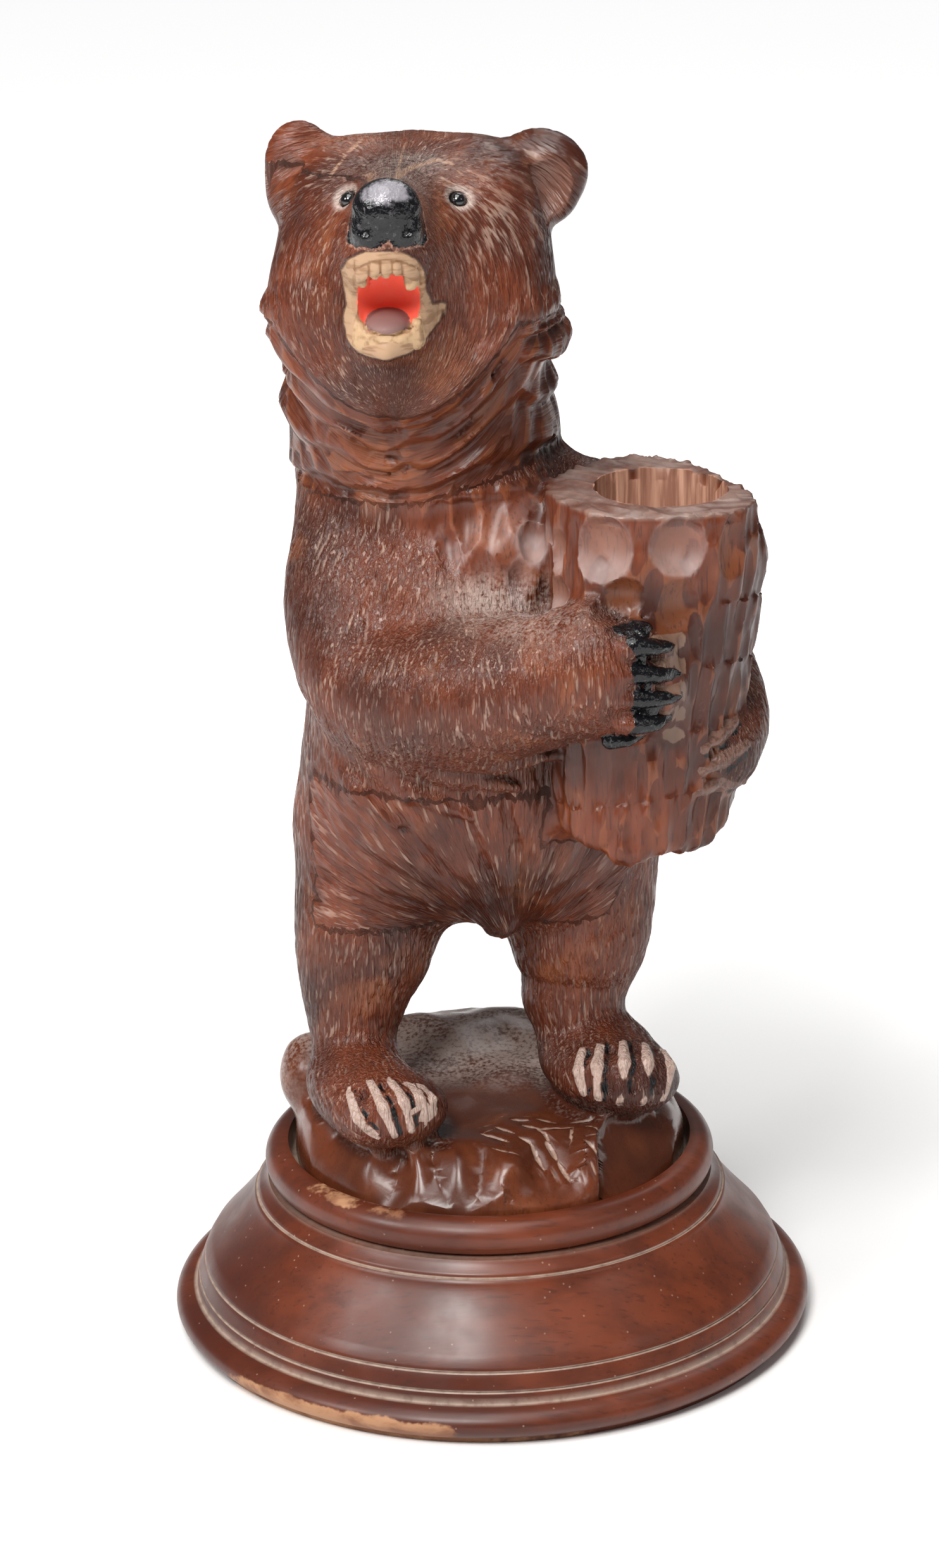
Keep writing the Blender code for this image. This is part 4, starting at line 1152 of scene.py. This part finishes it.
class Nodes:
    """Short calls for a material's node tree. A name in place of a value is that field of the mesh."""

    def __init__(self, name):
        self.material = bpy.data.materials.new(name)
        self.material.use_nodes = True
        self.tree = self.material.node_tree
        self.shader = self.tree.nodes["Principled BSDF"]
        self.colour = (0.0, 0.0, 0.0)

    def put(self, socket, value):
        if isinstance(value, str):
            value = self.node("Attribute", output="Fac", attribute_name=value)
        if isinstance(value, bpy.types.NodeSocket):
            self.tree.links.new(value, socket)
        elif socket.type == "RGBA":
            socket.default_value = (*value, 1.0)
        else:
            socket.default_value = value

    def node(self, kind, inputs=(), output=0, **settings):
        """The output of a new node, its inputs given by name or number."""
        node = self.tree.nodes.new("ShaderNode" + kind)
        for name, value in settings.items():
            setattr(node, name, value)
        for key, value in dict(inputs).items():
            self.put(node.inputs[key], value)
        return node.outputs[output]

    def place(self):
        return self.node("TexCoord", output="Object")

    def math(self, kind, *values, clamp=False):
        return self.node("Math", enumerate(values), operation=kind, use_clamp=clamp)

    def plus(self, first, second):
        return self.math("ADD", first, second)

    def times(self, first, *others):
        for other in others:
            first = self.math("MULTIPLY", first, other)
        return first

    def most(self, first, *others):
        for other in others:
            first = self.math("MAXIMUM", first, other)
        return first

    def ramp(self, value, low, high, start=0.0, end=1.0):
        """A smooth rise from start, where the value is low, to end, where it is high."""
        inputs = {"From Min": low, "From Max": high, "To Min": start, "To Max": end, "Value": value}
        return self.node("MapRange", inputs, "Result", interpolation_type="SMOOTHSTEP")

    def stretched(self, vector, scale):
        return self.node("Mapping", {"Vector": vector, "Scale": scale}, "Vector")

    def noise(self, vector, scale, detail, roughness, distortion=0.0):
        inputs = {"Vector": vector, "Scale": scale, "Detail": detail, "Roughness": roughness}
        return self.node("TexNoise", {**inputs, "Distortion": distortion}, "Fac")

    def mix(self, share, a, b):
        """A value between a and b."""
        return self.node("Mix", {0: share, 2: a, 3: b}, data_type="FLOAT")

    def blend(self, share, a, b):
        """A colour between a and b."""
        return self.node("Mix", {0: share, 6: a, 7: b}, 2, data_type="RGBA")

    def lay(self, tint, *shares):
        """Lays a tint over the colour so far, by the product of the shares."""
        self.colour = self.blend(self.times(*shares), self.colour, tint)

    def bump(self, height, strength, distance, **below):
        """A normal tilted by the slope of height, over the Normal below."""
        inputs = {"Height": height, "Strength": strength, "Distance": distance, **below}
        return self.node("Bump", inputs, "Normal")

    def finish(self, **sockets):
        """The material, with its shader's sockets filled, named with _ for each space."""
        for name, value in {"Base_Color": self.colour, **sockets}.items():
            self.put(self.shader.inputs[name.replace("_", " ")], value)
        return self.material


DEEP_STAIN_AND_SHADE = (0.036, 0.0075, 0.0035)
STAIN = (0.130, 0.0275, 0.0090)
STAIN_WORN = (0.300, 0.0950, 0.0340)
ROCK_STAIN = (0.13, 0.037, 0.015)
EAR_CUP_PAINTED_LIGHT = (0.25, 0.125, 0.095)
SCRATCHED_WOOD = (0.42, 0.25, 0.16)
DUST_AND_HIGHLIGHT = (0.47, 0.34, 0.27)
DUST_GREY = (0.40, 0.31, 0.27)
BOWL_DUST = (0.36, 0.285, 0.27)
BLACK_PAINT = (0.003, 0.003, 0.004)
BLACK_WORN = (0.10, 0.093, 0.10)
NOSE_RUBBED_AND_HIGHLIGHT = (0.36, 0.34, 0.375)
NOSE_WOOD = (0.40, 0.21, 0.15)
NOSE_WOOD_DARK = (0.16, 0.06, 0.035)
CREAM = (0.36, 0.225, 0.135)
CREAM_SHADE = (0.16, 0.072, 0.028)
TOOTH = (0.42, 0.275, 0.155)
RED_PAINT = (0.90, 0.130, 0.078)
RED_PALE = (0.85, 0.16, 0.12)
TONGUE = (0.20, 0.11, 0.10)
CLAW_PALE = (0.45, 0.33, 0.28)
CLAW_SHADE = (0.27, 0.16, 0.12)
FAR_CLAW = (0.08, 0.036, 0.025)
FAR_CLAW_PALE = (0.15, 0.078, 0.058)
WEDGE_WOOD = (0.145, 0.082, 0.056)
END_WOOD_DARK = (0.24, 0.105, 0.066)
END_WOOD = (0.42, 0.225, 0.150)
RIM_WOOD = (0.10, 0.055, 0.042)
RIM_DUST = (0.28, 0.22, 0.19)
PLINTH_DEEP = (0.066, 0.0125, 0.0050)
PLINTH_STAIN = (0.152, 0.0315, 0.0105)
PLINTH_FIGURE = (0.050, 0.0110, 0.0055)
PLINTH_PORES = (0.030, 0.0080, 0.0045)
PLINTH_BARE = (0.38, 0.195, 0.100)
PLINTH_BARE_DARK = (0.20, 0.078, 0.036)
PLINTH_DUST = (0.46, 0.36, 0.29)
GLUE = (0.30, 0.165, 0.080)
GLASS = (0.004, 0.004, 0.005)
GLASS_HAZE = (0.06, 0.055, 0.05)


class CarvedFinish(Nodes):
    """The carving's finish: stain, varnish, dust in the cuts, the painted face and claws, painted shade in
    creases and hollows, painted light in the ear cups, and painted highlight among the wear on the nose and
    the dust on the raised hairs.
    """

    def build(self):
        place = self.place()
        self.speck = self.noise(place, 900.0, 2.0, 0.6)
        self.cloud = self.noise(place, 70.0, 3.0, 0.6)
        rough_edge = self.noise(place, 420.0, 3.0, 0.65)
        self.ragged = self.times(self.math("SUBTRACT", rough_edge, 0.5), 3.2)
        smooth = self.most("trunk", "rock", "chest", self.times("neck", 0.8))
        self.fur = self.math("SUBTRACT", 1.0, smooth, clamp=True)
        way = self.node("Attribute", output="Vector", attribute_name="fur_way")
        self.hair = self.noise(way, 1.0, 2.0, 0.55)
        self.stained(place)
        self.cut_wood()
        self.dusted_and_shaded()
        self.bored(place)
        self.painted_face(place)
        self.painted_claws()
        return self.varnished(place)

    def frayed(self, name, share):
        """A field whose edge runs raggedly."""
        return self.plus(name, self.times(self.ragged, share))

    def stained(self, place):
        """Stained wood with slow changes of depth, darker pores and lighter rubbed places."""
        slow = self.noise(place, 22.0, 3.0, 0.5)
        grain = self.noise(self.stretched(place, (1.0, 1.0, 0.12)), 260.0, 4.0, 0.62)
        patches = self.noise(place, 55.0, 2.0, 0.6, 0.4)
        self.colour = self.blend(self.ramp(slow, 0.36, 0.62), DEEP_STAIN_AND_SHADE, STAIN)
        self.lay(DEEP_STAIN_AND_SHADE, self.ramp(grain, 0.35, 0.72, 0.0, 0.45))
        self.lay(STAIN_WORN, self.ramp(patches, 0.50, 0.78, 0.0, 0.34))

    def cut_wood(self):
        """Rubbed ridges, dark strokes, and pale lines on the raised hairs along the fur, partly dust and
        partly painted highlight.
        """
        self.lay(STAIN_WORN, self.ramp("gouge", 0.12, 0.0, 0.0, 0.28), self.most("chest", "neck", "trunk"))
        self.lay(DEEP_STAIN_AND_SHADE, self.ramp(self.hair, 0.46, 0.32, 0.0, 0.55))
        here_and_there = self.ramp(self.cloud, 0.36, 0.62, 0.15, 1.0)
        # pale lines on the tops of the hair relief: dust and painted highlight
        self.lay(DUST_AND_HIGHLIGHT, self.ramp(self.hair, 0.58, 0.68), self.fur, here_and_there, 0.34)

    def dusted_and_shaded(self):
        """Dust in the cuts, the hollows, the scoops and the scratches, on the crown and round the eyes,
        with painted shade darkening the creases and painted light in the ear cups.
        """
        cut = self.times(self.ramp("groove", 0.20, 0.46), self.ramp(self.cloud, 0.38, 0.60, 0.15, 0.9))
        self.lay(DUST_AND_HIGHLIGHT, cut, 0.42)
        self.lay(DUST_AND_HIGHLIGHT, self.ramp("groove", 0.15, 0.5), "rock", 0.8)
        self.lay(ROCK_STAIN, "rock", 0.30)
        # painted shade: creases and enclosed hollows darkened with the deep stain colour
        crease_shade = self.most(self.ramp("hollow", 0.20, 0.80), self.ramp("deep", 0.45, 1.0))
        self.lay(DEEP_STAIN_AND_SHADE, crease_shade, 0.72)
        settled = self.times(self.ramp("deep", 0.60, 0.95), self.ramp(self.speck, 0.45, 0.70))
        self.lay(DUST_GREY, settled, 0.18)
        powder = self.ramp(self.plus(self.speck, self.times(self.cloud, 0.6)), 0.60, 0.95)
        powder = self.times(powder, "dusty")
        self.lay(DUST_GREY, powder, 0.85)
        bowl = self.times(self.ramp("bowl", 0.2, 1.0), self.ramp(self.cloud, 0.3, 0.55, 0.5, 1.0))
        self.lay(BOWL_DUST, bowl, 0.52)
        # painted light: paler colour laid in the deep of the ear cups, where the cups lie in shade
        self.lay(EAR_CUP_PAINTED_LIGHT, "ear", self.ramp("deep", 0.15, 0.6), 0.50)
        thin = self.ramp(self.cloud, 0.3, 0.5, 0.4, 1.0)
        self.lay(SCRATCHED_WOOD, self.ramp("scratch", 0.45, 0.15), thin, 0.50)
        # pale lines on the raised hairs of the right cheek: dust and painted highlight
        self.lay(DUST_AND_HIGHLIGHT, "cheek", self.ramp(self.hair, 0.46, 0.60), 0.36)
        self.lay(DUST_GREY, self.ramp("eye_ring", 0.0, 2.0), self.ramp(self.speck, 0.25, 0.6, 0.4, 0.9))
        self.settled = self.most(settled, cut, powder, bowl)

    def bored(self, place):
        """The broken rim of the trunk and the paler end wood inside the bore."""
        rim = self.blend(self.ramp(self.cloud, 0.35, 0.65), RIM_WOOD, RIM_DUST)
        self.lay(rim, self.ramp("rim", -0.6, 0.9), "trunk", 0.50)
        self.in_bore = self.ramp("bore", -0.25, 0.25)
        lines = self.noise(self.stretched(place, (1.0, 1.0, 0.07)), 620.0, 3.0, 0.6)
        self.lay(self.blend(self.ramp(lines, 0.36, 0.66), END_WOOD_DARK, END_WOOD), self.in_bore)

    def painted_face(self, place):
        """Cream lips with painted shade in their hollows, red mouth, brown tongue, ivory teeth, and the
        worn black nose with a pale patch on its top that is partly worn paint and partly painted highlight.
        """
        stroke = self.noise(self.stretched(place, (0.25, 0.25, 1.0)), 560.0, 2.0, 0.6)
        cream = self.blend(self.ramp(stroke, 0.46, 0.66, 0.0, 0.60), CREAM, CREAM_SHADE)
        # painted shade: the cream darkened in the hollows of the lips
        cream = self.blend(self.ramp("hollow", 0.35, 0.9, 0.0, 0.7), cream, CREAM_SHADE)
        edge = self.frayed("lips", 0.22)
        self.lips = self.ramp(edge, -0.2, 0.2)
        self.lay(cream, self.lips)
        self.lay(DEEP_STAIN_AND_SHADE, self.ramp(edge, -0.7, -0.3), self.ramp(edge, 0.5, 0.1), 0.75)
        patchy = self.ramp(self.noise(place, 300.0, 2.0, 0.5), 0.50, 0.75, 0.0, 0.7)
        self.lay(self.blend(patchy, RED_PAINT, RED_PALE), self.ramp("red", -0.12, 0.12))
        self.lay(TONGUE, self.ramp("tongue", -0.12, 0.12))
        yellowed = self.ramp(self.noise(place, 500.0, 2.0, 0.5), 0.45, 0.7, 0.0, 0.6)
        tooth = self.ramp("tooth", -0.10, 0.10)
        self.lay(self.blend(yellowed, TOOTH, CREAM_SHADE), tooth)
        self.lay(CREAM_SHADE, self.ramp("tooth_line", 0.05, 0.5), self.most(self.lips, tooth), 0.85)
        self.rubbed = self.ramp(self.noise(place, 640.0, 4.0, 0.7), 0.56, 0.68, 0.0, 0.55)
        self.black = self.blend(self.rubbed, BLACK_PAINT, BLACK_WORN)
        edge = self.frayed("nose", 0.9)
        bare = self.blend(self.ramp(self.speck, 0.4, 0.6), NOSE_WOOD, NOSE_WOOD_DARK)
        self.lay(bare, self.ramp(edge, -0.9, -0.5, 0.0, 0.7))
        self.nose = self.ramp(edge, -0.12, 0.12)
        # pale bluish-grey patch on the top of the nose: worn paint and painted highlight
        worn = self.ramp(self.frayed("nose_top", 0.35), 0.55, 1.0, 0.0, 0.58)
        self.lay(self.blend(worn, self.black, NOSE_RUBBED_AND_HIGHLIGHT), self.nose)

    def painted_claws(self):
        """Black between the toes, bare pale claws, and the black claws of the paw held out in front."""
        gap = self.ramp(self.frayed("black_gap", 0.30), 0.1, 0.4)
        self.lay(BLACK_PAINT, gap, self.ramp(self.cloud, 0.30, 0.5, 0.6, 1.0))
        self.lay(WEDGE_WOOD, self.ramp(self.frayed("wedge", 0.25), 0.0, 0.3))
        pale = self.blend(self.ramp(self.speck, 0.35, 0.7, 0.0, 0.6), CLAW_PALE, CLAW_SHADE)
        self.lay(pale, self.ramp("foot_claw", 0.05, 0.25))
        far = self.blend(self.ramp(self.speck, 0.3, 0.6), FAR_CLAW, FAR_CLAW_PALE)
        self.lay(far, self.ramp("far_claw", 0.10, 0.30))
        self.paw = self.ramp(self.frayed("paw_claw", 0.10), 0.05, 0.25)
        self.lay(self.black, self.paw)

    def varnished(self, place):
        """Old varnish: dull where dust lies, wet on the nose, and fine hairs as relief."""
        rough = self.ramp(self.noise(place, 130.0, 3.0, 0.6), 0.3, 0.7, 0.30, 0.46)
        dull = self.most(self.settled, self.in_bore, self.lips)
        rough = self.mix(self.times(dull, 0.85), rough, 0.74)
        rough = self.mix(self.times("rock", 0.6), rough, 0.20)
        paint = self.most(self.nose, self.paw)
        rough = self.mix(paint, rough, self.ramp(self.rubbed, 0.0, 0.55, 0.16, 0.34))
        furred = self.mix(self.most(self.lips, paint), self.fur, 0.0)
        hair = self.times(self.ramp(self.hair, 0.34, 0.66), furred)
        flute = self.noise(self.stretched(place, (1.0, 1.0, 0.2)), 330.0, 2.0, 0.5)
        normal = self.bump(self.plus(hair, self.times(flute, "trunk", 0.5)), 0.85, 0.00040)
        normal = self.bump(self.speck, 0.25, 0.00008, Normal=normal)
        lumps = self.times(self.noise(place, 300.0, 3.0, 0.6), paint)
        normal = self.bump(lumps, 0.9, 0.00090, Normal=normal)
        gloss = {"Specular_IOR_Level": 0.32, "Coat_Weight": 0.08, "Coat_Roughness": 0.25}
        return self.finish(Roughness=rough, Normal=normal, **gloss)


def plinth_finish():
    made = Nodes("turned_wood_varnished")
    place = made.place()
    slow = made.noise(place, 16.0, 3.0, 0.5)
    figure = made.noise(made.stretched(place, (0.35, 1.0, 1.0)), 120.0, 5.0, 0.6, 0.3)
    pores = made.noise(made.stretched(place, (0.10, 1.0, 1.0)), 900.0, 2.0, 0.5)
    made.colour = made.blend(made.ramp(slow, 0.32, 0.68), PLINTH_DEEP, PLINTH_STAIN)
    made.lay(PLINTH_FIGURE, made.ramp(figure, 0.36, 0.70, 0.0, 0.60))
    made.lay(PLINTH_PORES, made.ramp(pores, 0.58, 0.70, 0.0, 0.40))
    specks = made.node("TexVoronoi", {"Vector": place, "Scale": 260.0}, "Distance")
    made.lay(DUST_AND_HIGHLIGHT, made.ramp(specks, 0.10, 0.03, 0.0, 0.35))
    edge = made.noise(place, 95.0, 4.0, 0.65)
    worn = made.plus("worn", made.times(made.math("SUBTRACT", edge, 0.5), 1.7))
    worn = made.ramp(worn, 0.42, 0.66)
    made.lay(made.blend(made.ramp(figure, 0.38, 0.62), PLINTH_BARE, PLINTH_BARE_DARK), worn)
    made.lay(GLUE, "glue", made.ramp(edge, 0.40, 0.62))
    dust = made.times("dust", made.ramp(made.noise(place, 320.0, 3.0, 0.6), 0.25, 0.6, 0.55, 1.0))
    made.lay(PLINTH_DUST, dust)
    rough = made.ramp(made.noise(place, 70.0, 4.0, 0.6), 0.3, 0.7, 0.34, 0.46)
    rough = made.mix(made.most(worn, dust), rough, 0.62)
    normal = made.bump(made.plus(made.times(figure, 0.5), made.times(pores, 0.5)), 0.35, 0.00012)
    gloss = {"Specular_IOR_Level": 0.36, "Coat_Weight": 0.12, "Coat_Roughness": 0.25}
    return made.finish(Roughness=rough, Normal=normal, **gloss)


def eye_finish():
    made = Nodes("eye_glass")
    haze = made.noise(made.place(), 900.0, 2.0, 0.5)
    made.colour = made.blend(made.ramp(haze, 0.55, 0.75, 0.0, 0.25), GLASS, GLASS_HAZE)
    return made.finish(Roughness=made.ramp(haze, 0.5, 0.8, 0.04, 0.20), Specular_IOR_Level=0.8)


def arc(centre_r, centre_z, radius_r, radius_z, first, last, steps):
    """Points round part of a bead, angles in degrees from the outward horizontal."""
    return [
        (centre_r + radius_r * math.cos(math.radians(t)), centre_z + radius_z * math.sin(math.radians(t)))
        for t in np.linspace(first, last, steps)
    ]


def plinth_rings():
    """Radius, height, dust and glue shares down the turned profile, from the recess to the underside."""
    seat = PLINTH_HEIGHT - RECESS_DEPTH
    top_radius = RECESS_RADIUS + RIM_WALL
    bead = TOP_BEAD_HEIGHT / 2
    neck = PLINTH_HEIGHT - TOP_BEAD_HEIGHT
    rings = [(0.0, seat, 0, 0), (RECESS_RADIUS - 0.006, seat, 0.5, 0.6)]
    rings += [(RECESS_RADIUS - 0.0006, seat, 0.8, 1.0), (RECESS_RADIUS, seat + 0.0006, 0.7, 1.0)]
    rings += [(RECESS_RADIUS + 0.0003, PLINTH_HEIGHT - 0.0022, 0.2, 0.8)]
    for radius, height in arc(top_radius - bead, PLINTH_HEIGHT - bead, bead, bead, 104, -64, 26):
        rings.append((radius, height, 0, 0))
    rings.append((top_radius - 0.0022, neck + 0.0002, 0.35, 0))
    rings.append((top_radius - 0.0006, neck, 0.2, 0))
    for share in np.linspace(0.15, 1, 6):
        rings.append((top_radius - 0.0006 + 0.0028 * share, neck - 0.0032 * share**0.8, 0, 0))
    rings += groove(top_radius + 0.0027, neck - 0.0039, 0.62)
    cove_top = (top_radius + 0.0036, neck - 0.0053)
    cove_foot = (BASE_RADIUS - 0.0103, BASE_BEAD_HEIGHT + 0.0110)
    for share in np.linspace(0.0, 1.0, 18):
        radius = cove_top[0] + share**COVE_BEND * (cove_foot[0] - cove_top[0])
        rings.append((radius, cove_top[1] + share * (cove_foot[1] - cove_top[1]), 0, 0))
    rings.append((BASE_RADIUS - 0.0092, BASE_BEAD_HEIGHT + 0.0091, 0, 0))
    rings += groove(BASE_RADIUS - 0.0086, BASE_BEAD_HEIGHT + 0.0079, 1.25)
    rings.append((BASE_RADIUS - 0.0078, BASE_BEAD_HEIGHT + 0.0060, 0, 0))
    rings.append((BASE_RADIUS - 0.0071, BASE_BEAD_HEIGHT + 0.0040, 0, 0))
    rings += groove(BASE_RADIUS - 0.0068, BASE_BEAD_HEIGHT + 0.0031, 1.30)
    rings.append((BASE_RADIUS - 0.0064, BASE_BEAD_HEIGHT + 0.0018, 0, 0))
    rings.append((BASE_RADIUS - 0.0062, BASE_BEAD_HEIGHT + 0.0005, 0.5, 0))
    rings.append((BASE_RADIUS - 0.0060, BASE_BEAD_HEIGHT, 0.9, 0))
    rings.append((BASE_RADIUS - 0.0054, BASE_BEAD_HEIGHT - 0.0001, 0.5, 0))
    for radius, height in arc(BASE_RADIUS - 0.0062, 0.0054, 0.0062, 0.0044, 78, -62, 22):
        rings.append((radius, height, 0, 0))
    rings.append((BASE_RADIUS - 0.0036, 0.0002, 0, 0))
    rings.append((BASE_RADIUS - 0.0042, 0.0, 0, 0))
    rings.append((0.0, 0.0, 0, 0))
    return rings


def groove(radius, height, slope):
    """A fine V groove full of dust in a flank of that slope, as rings from above to below."""
    rings = []
    lean, rise = math.cos(slope), math.sin(slope)
    lip, wall = 0.00055, 0.00030
    for along, share, dust in ((-lip, 0, 0), (-wall, 0.12, 0.8), (0, 1, 1), (wall, 0.12, 0.8), (lip, 0, 0)):
        deep = GROOVE_DEPTH * share
        rings.append((radius + along * lean - deep * rise, height - along * rise - deep * lean, dust, 0))
    return rings


def turned_piece():
    """The plinth, turned finely, with dust in its grooves and its rubbed and glued places marked."""
    rings = plinth_rings()
    mesh = bmesh.new()
    rows = []
    for radius, height, _, _ in rings:
        if radius == 0:
            rows.append([mesh.verts.new((0, 0, height))])
            continue
        angles = np.arange(PLINTH_STEPS) * 2 * math.pi / PLINTH_STEPS
        rows.append([mesh.verts.new((radius * math.cos(a), radius * math.sin(a), height)) for a in angles])
    for upper, lower in zip(rows, rows[1:]):
        for i in range(PLINTH_STEPS):
            j = (i + 1) % PLINTH_STEPS
            if len(upper) == 1:
                mesh.faces.new((upper[0], lower[i], lower[j]))
            elif len(lower) == 1:
                mesh.faces.new((upper[i], lower[0], upper[j]))
            else:
                mesh.faces.new((upper[i], lower[i], lower[j], upper[j]))
    made = mesh_of("plinth_turned_fine", mesh)
    dust, glue = [], []
    for row, (_, _, share, sticky) in zip(rows, rings):
        dust += [share] * len(row)
        glue += [sticky] * len(row)
    points = get_points(made)
    angle = np.degrees(np.arctan2(points[:, 0], -points[:, 1]))
    height = points[:, 2]
    reach = np.hypot(points[:, 0], points[:, 1])
    front_left = step(angle, -62, -46) * (1 - step(angle, -16, 0))
    low_bead = front_left * (1 - step(height, 0.0050, 0.0090)) * step(reach, 0.080, 0.086)
    thin_front = 0.62 * step(angle, -30, -20) * (1 - step(angle, 14, 40))
    thin_front = thin_front * (1 - step(height, 0.001, 0.0045)) * step(reach, 0.08, 0.084)
    rim_chips = 0.62 * step(height, 0.0496, 0.0518) * step(angle, -62, -50) * (1 - step(angle, -30, -14))
    add_fields(made, {
        "dust": np.array(dust) * 0.85,
        "glue": np.array(glue) * step(-np.abs(angle), -150, -60),
        "worn": np.maximum.reduce([low_bead, thin_front, rim_chips]),
    })
    return made


def eye_piece(name, place):
    mesh = bmesh.new()
    matrix = Matrix.Translation(Vector(place))
    bmesh.ops.create_uvsphere(mesh, u_segments=48, v_segments=32, radius=EYE_RADIUS, matrix=matrix)
    made = mesh_of(name, mesh)
    made.shade_smooth()
    return made


def mesh_of(name, solid):
    mesh = bpy.data.meshes.new(name)
    solid.to_mesh(mesh)
    solid.free()
    return mesh


def add_piece(name, mesh, material, node):
    piece = new_object(name, mesh)
    mesh.materials.clear()
    mesh.materials.append(material)
    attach(piece, "root")
    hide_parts(node)
    return piece


# Camera, measured from the photograph
FOCAL_PIXELS = 6200.0
FRAME_HEIGHT_PIXELS = 2478.0
SENSOR = 36.0
CAMERA_PLACE = Vector((0.0, -1.018, 0.499))
CAMERA_PITCH = 18.64
CAMERA_YAW = -0.19
CAMERA_ROLL = -1.23

# Studio
FLOOR_RADIUS = 3.3
DOME_RADIUS = 3.4
LIT_HEIGHT = 0.17
WORLD_LIGHT = 0.14


def add_camera():
    data = bpy.data.cameras.new("camera")
    data.sensor_fit = "VERTICAL"
    data.sensor_width = SENSOR
    data.sensor_height = SENSOR
    data.lens = FOCAL_PIXELS / FRAME_HEIGHT_PIXELS * SENSOR
    camera = new_object("camera", data)
    pitch, yaw, roll = (math.radians(a) for a in (CAMERA_PITCH, CAMERA_YAW, CAMERA_ROLL))
    ahead = Vector((math.sin(yaw) * math.cos(pitch), math.cos(yaw) * math.cos(pitch), -math.sin(pitch)))
    right = ahead.cross(Vector((0, 0, 1))).normalized()
    up = right.cross(ahead)
    side = right * math.cos(roll) + up * math.sin(roll)
    top = up * math.cos(roll) - right * math.sin(roll)
    matrix = Matrix((side, top, -ahead)).transposed().to_4x4()
    matrix.translation = CAMERA_PLACE
    camera.matrix_world = matrix
    bpy.context.scene.camera = camera


# Name, azimuth, elevation, distance, size, power and colour of each light
LIGHTS = (
    ("key", -20, 46, 1.25, 0.40, 14.0, (1.0, 0.985, 0.965)),
    ("top", -16, 78, 1.10, 0.70, 8.0, (1.0, 0.99, 0.975)),
    ("left", -60, 34, 1.3, 0.35, 7.0, (1.0, 0.99, 0.98)),
    ("right", 60, 30, 1.4, 0.35, 1.0, (1.0, 0.99, 0.98)),
    ("rear", 160, 50, 1.3, 0.6, 3.0, (1.0, 1.0, 1.0)),
)


def add_light(name, azimuth, elevation, distance, size, power, colour):
    """A square soft light that looks at the figure from azimuth and elevation."""
    data = bpy.data.lights.new(name, "AREA")
    data.shape = "SQUARE"
    data.size = size
    data.energy = power
    data.color = colour
    light = new_object(name, data)
    a, e = math.radians(azimuth), math.radians(elevation)
    middle = Vector((0, 0, LIT_HEIGHT))
    back = Vector((math.sin(a) * math.cos(e), -math.cos(a) * math.cos(e), math.sin(e)))
    light.location = middle + back * distance
    light.rotation_euler = (-back).to_track_quat("-Z", "Y").to_euler()


def backdrop():
    """A white dome that only the camera sees."""
    dome = bmesh.new()
    bmesh.ops.create_uvsphere(dome, u_segments=48, v_segments=24, radius=DOME_RADIUS)
    mesh = mesh_of("backdrop", dome)
    made = Nodes("backdrop_white")
    soft = made.noise(made.place(), 0.8, 1.0, 0.5)
    white = made.blend(made.ramp(soft, 0.3, 0.7), (0.985, 0.985, 0.985), (1.0, 1.0, 1.0))
    glow = {"Emission_Color": white, "Emission_Strength": 1.0}
    mesh.materials.append(made.finish(Roughness=1.0, Specular_IOR_Level=0.0, **glow))
    made_dome = new_object("backdrop", mesh)
    made_dome.visible_diffuse = False
    made_dome.visible_glossy = False
    made_dome.visible_shadow = False


def add_studio():
    floor = bmesh.new()
    bmesh.ops.create_circle(floor, cap_ends=True, segments=64, radius=FLOOR_RADIUS)
    mesh = mesh_of("floor", floor)
    made = Nodes("pale_glowing_floor")
    tint = made.noise(made.place(), 1.5, 2.0, 0.5)
    made.colour = made.blend(made.ramp(tint, 0.3, 0.7), (0.91, 0.91, 0.91), (0.93, 0.93, 0.93))
    # painted light: the floor glows, not at all within 0.12 m of the middle and up to 0.8 beyond 0.6 m, and
    # so also lights the figure from below
    reach = made.node("VectorMath", {0: made.place()}, "Value", operation="LENGTH")
    glow = {"Emission_Color": (1.0, 1.0, 1.0), "Emission_Strength": made.ramp(reach, 0.12, 0.60, 0.0, 0.80)}
    mesh.materials.append(made.finish(Roughness=0.9, Specular_IOR_Level=0.1, **glow))
    new_object("floor", mesh)
    backdrop()
    world = bpy.data.worlds.new("studio")
    bpy.context.scene.world = world
    world.use_nodes = True
    background = world.node_tree.nodes["Background"]
    background.inputs["Color"].default_value = (1.0, 1.0, 1.0, 1.0)
    background.inputs["Strength"].default_value = WORLD_LIGHT
    for light in LIGHTS:
        add_light(*light)
    bpy.context.scene.view_settings.view_transform = "Standard"


def main():
    carving = carved_piece()
    carving.shade_smooth()
    carving.set_sharp_from_angle(angle=math.radians(CARVING_CREASE))
    finish = CarvedFinish("carved_wood").build()
    add_piece("bear_carved_fine", carving, finish, "bear_carving")
    plinth = turned_piece()
    plinth.shade_smooth()
    plinth.set_sharp_from_angle(angle=math.radians(PLINTH_CREASE))
    add_piece("plinth_turned_fine", plinth, plinth_finish(), "turned_plinth")
    glass = eye_finish()
    for side, place in zip(("left", "right"), EYE_PLACES):
        at = place * UNIT + (0, 0, SEAT_Z)
        add_piece(side + "_eye_bead", eye_piece(side + "_eye_bead", at), glass, side + "_eye")
    add_studio()
    add_camera()


main()
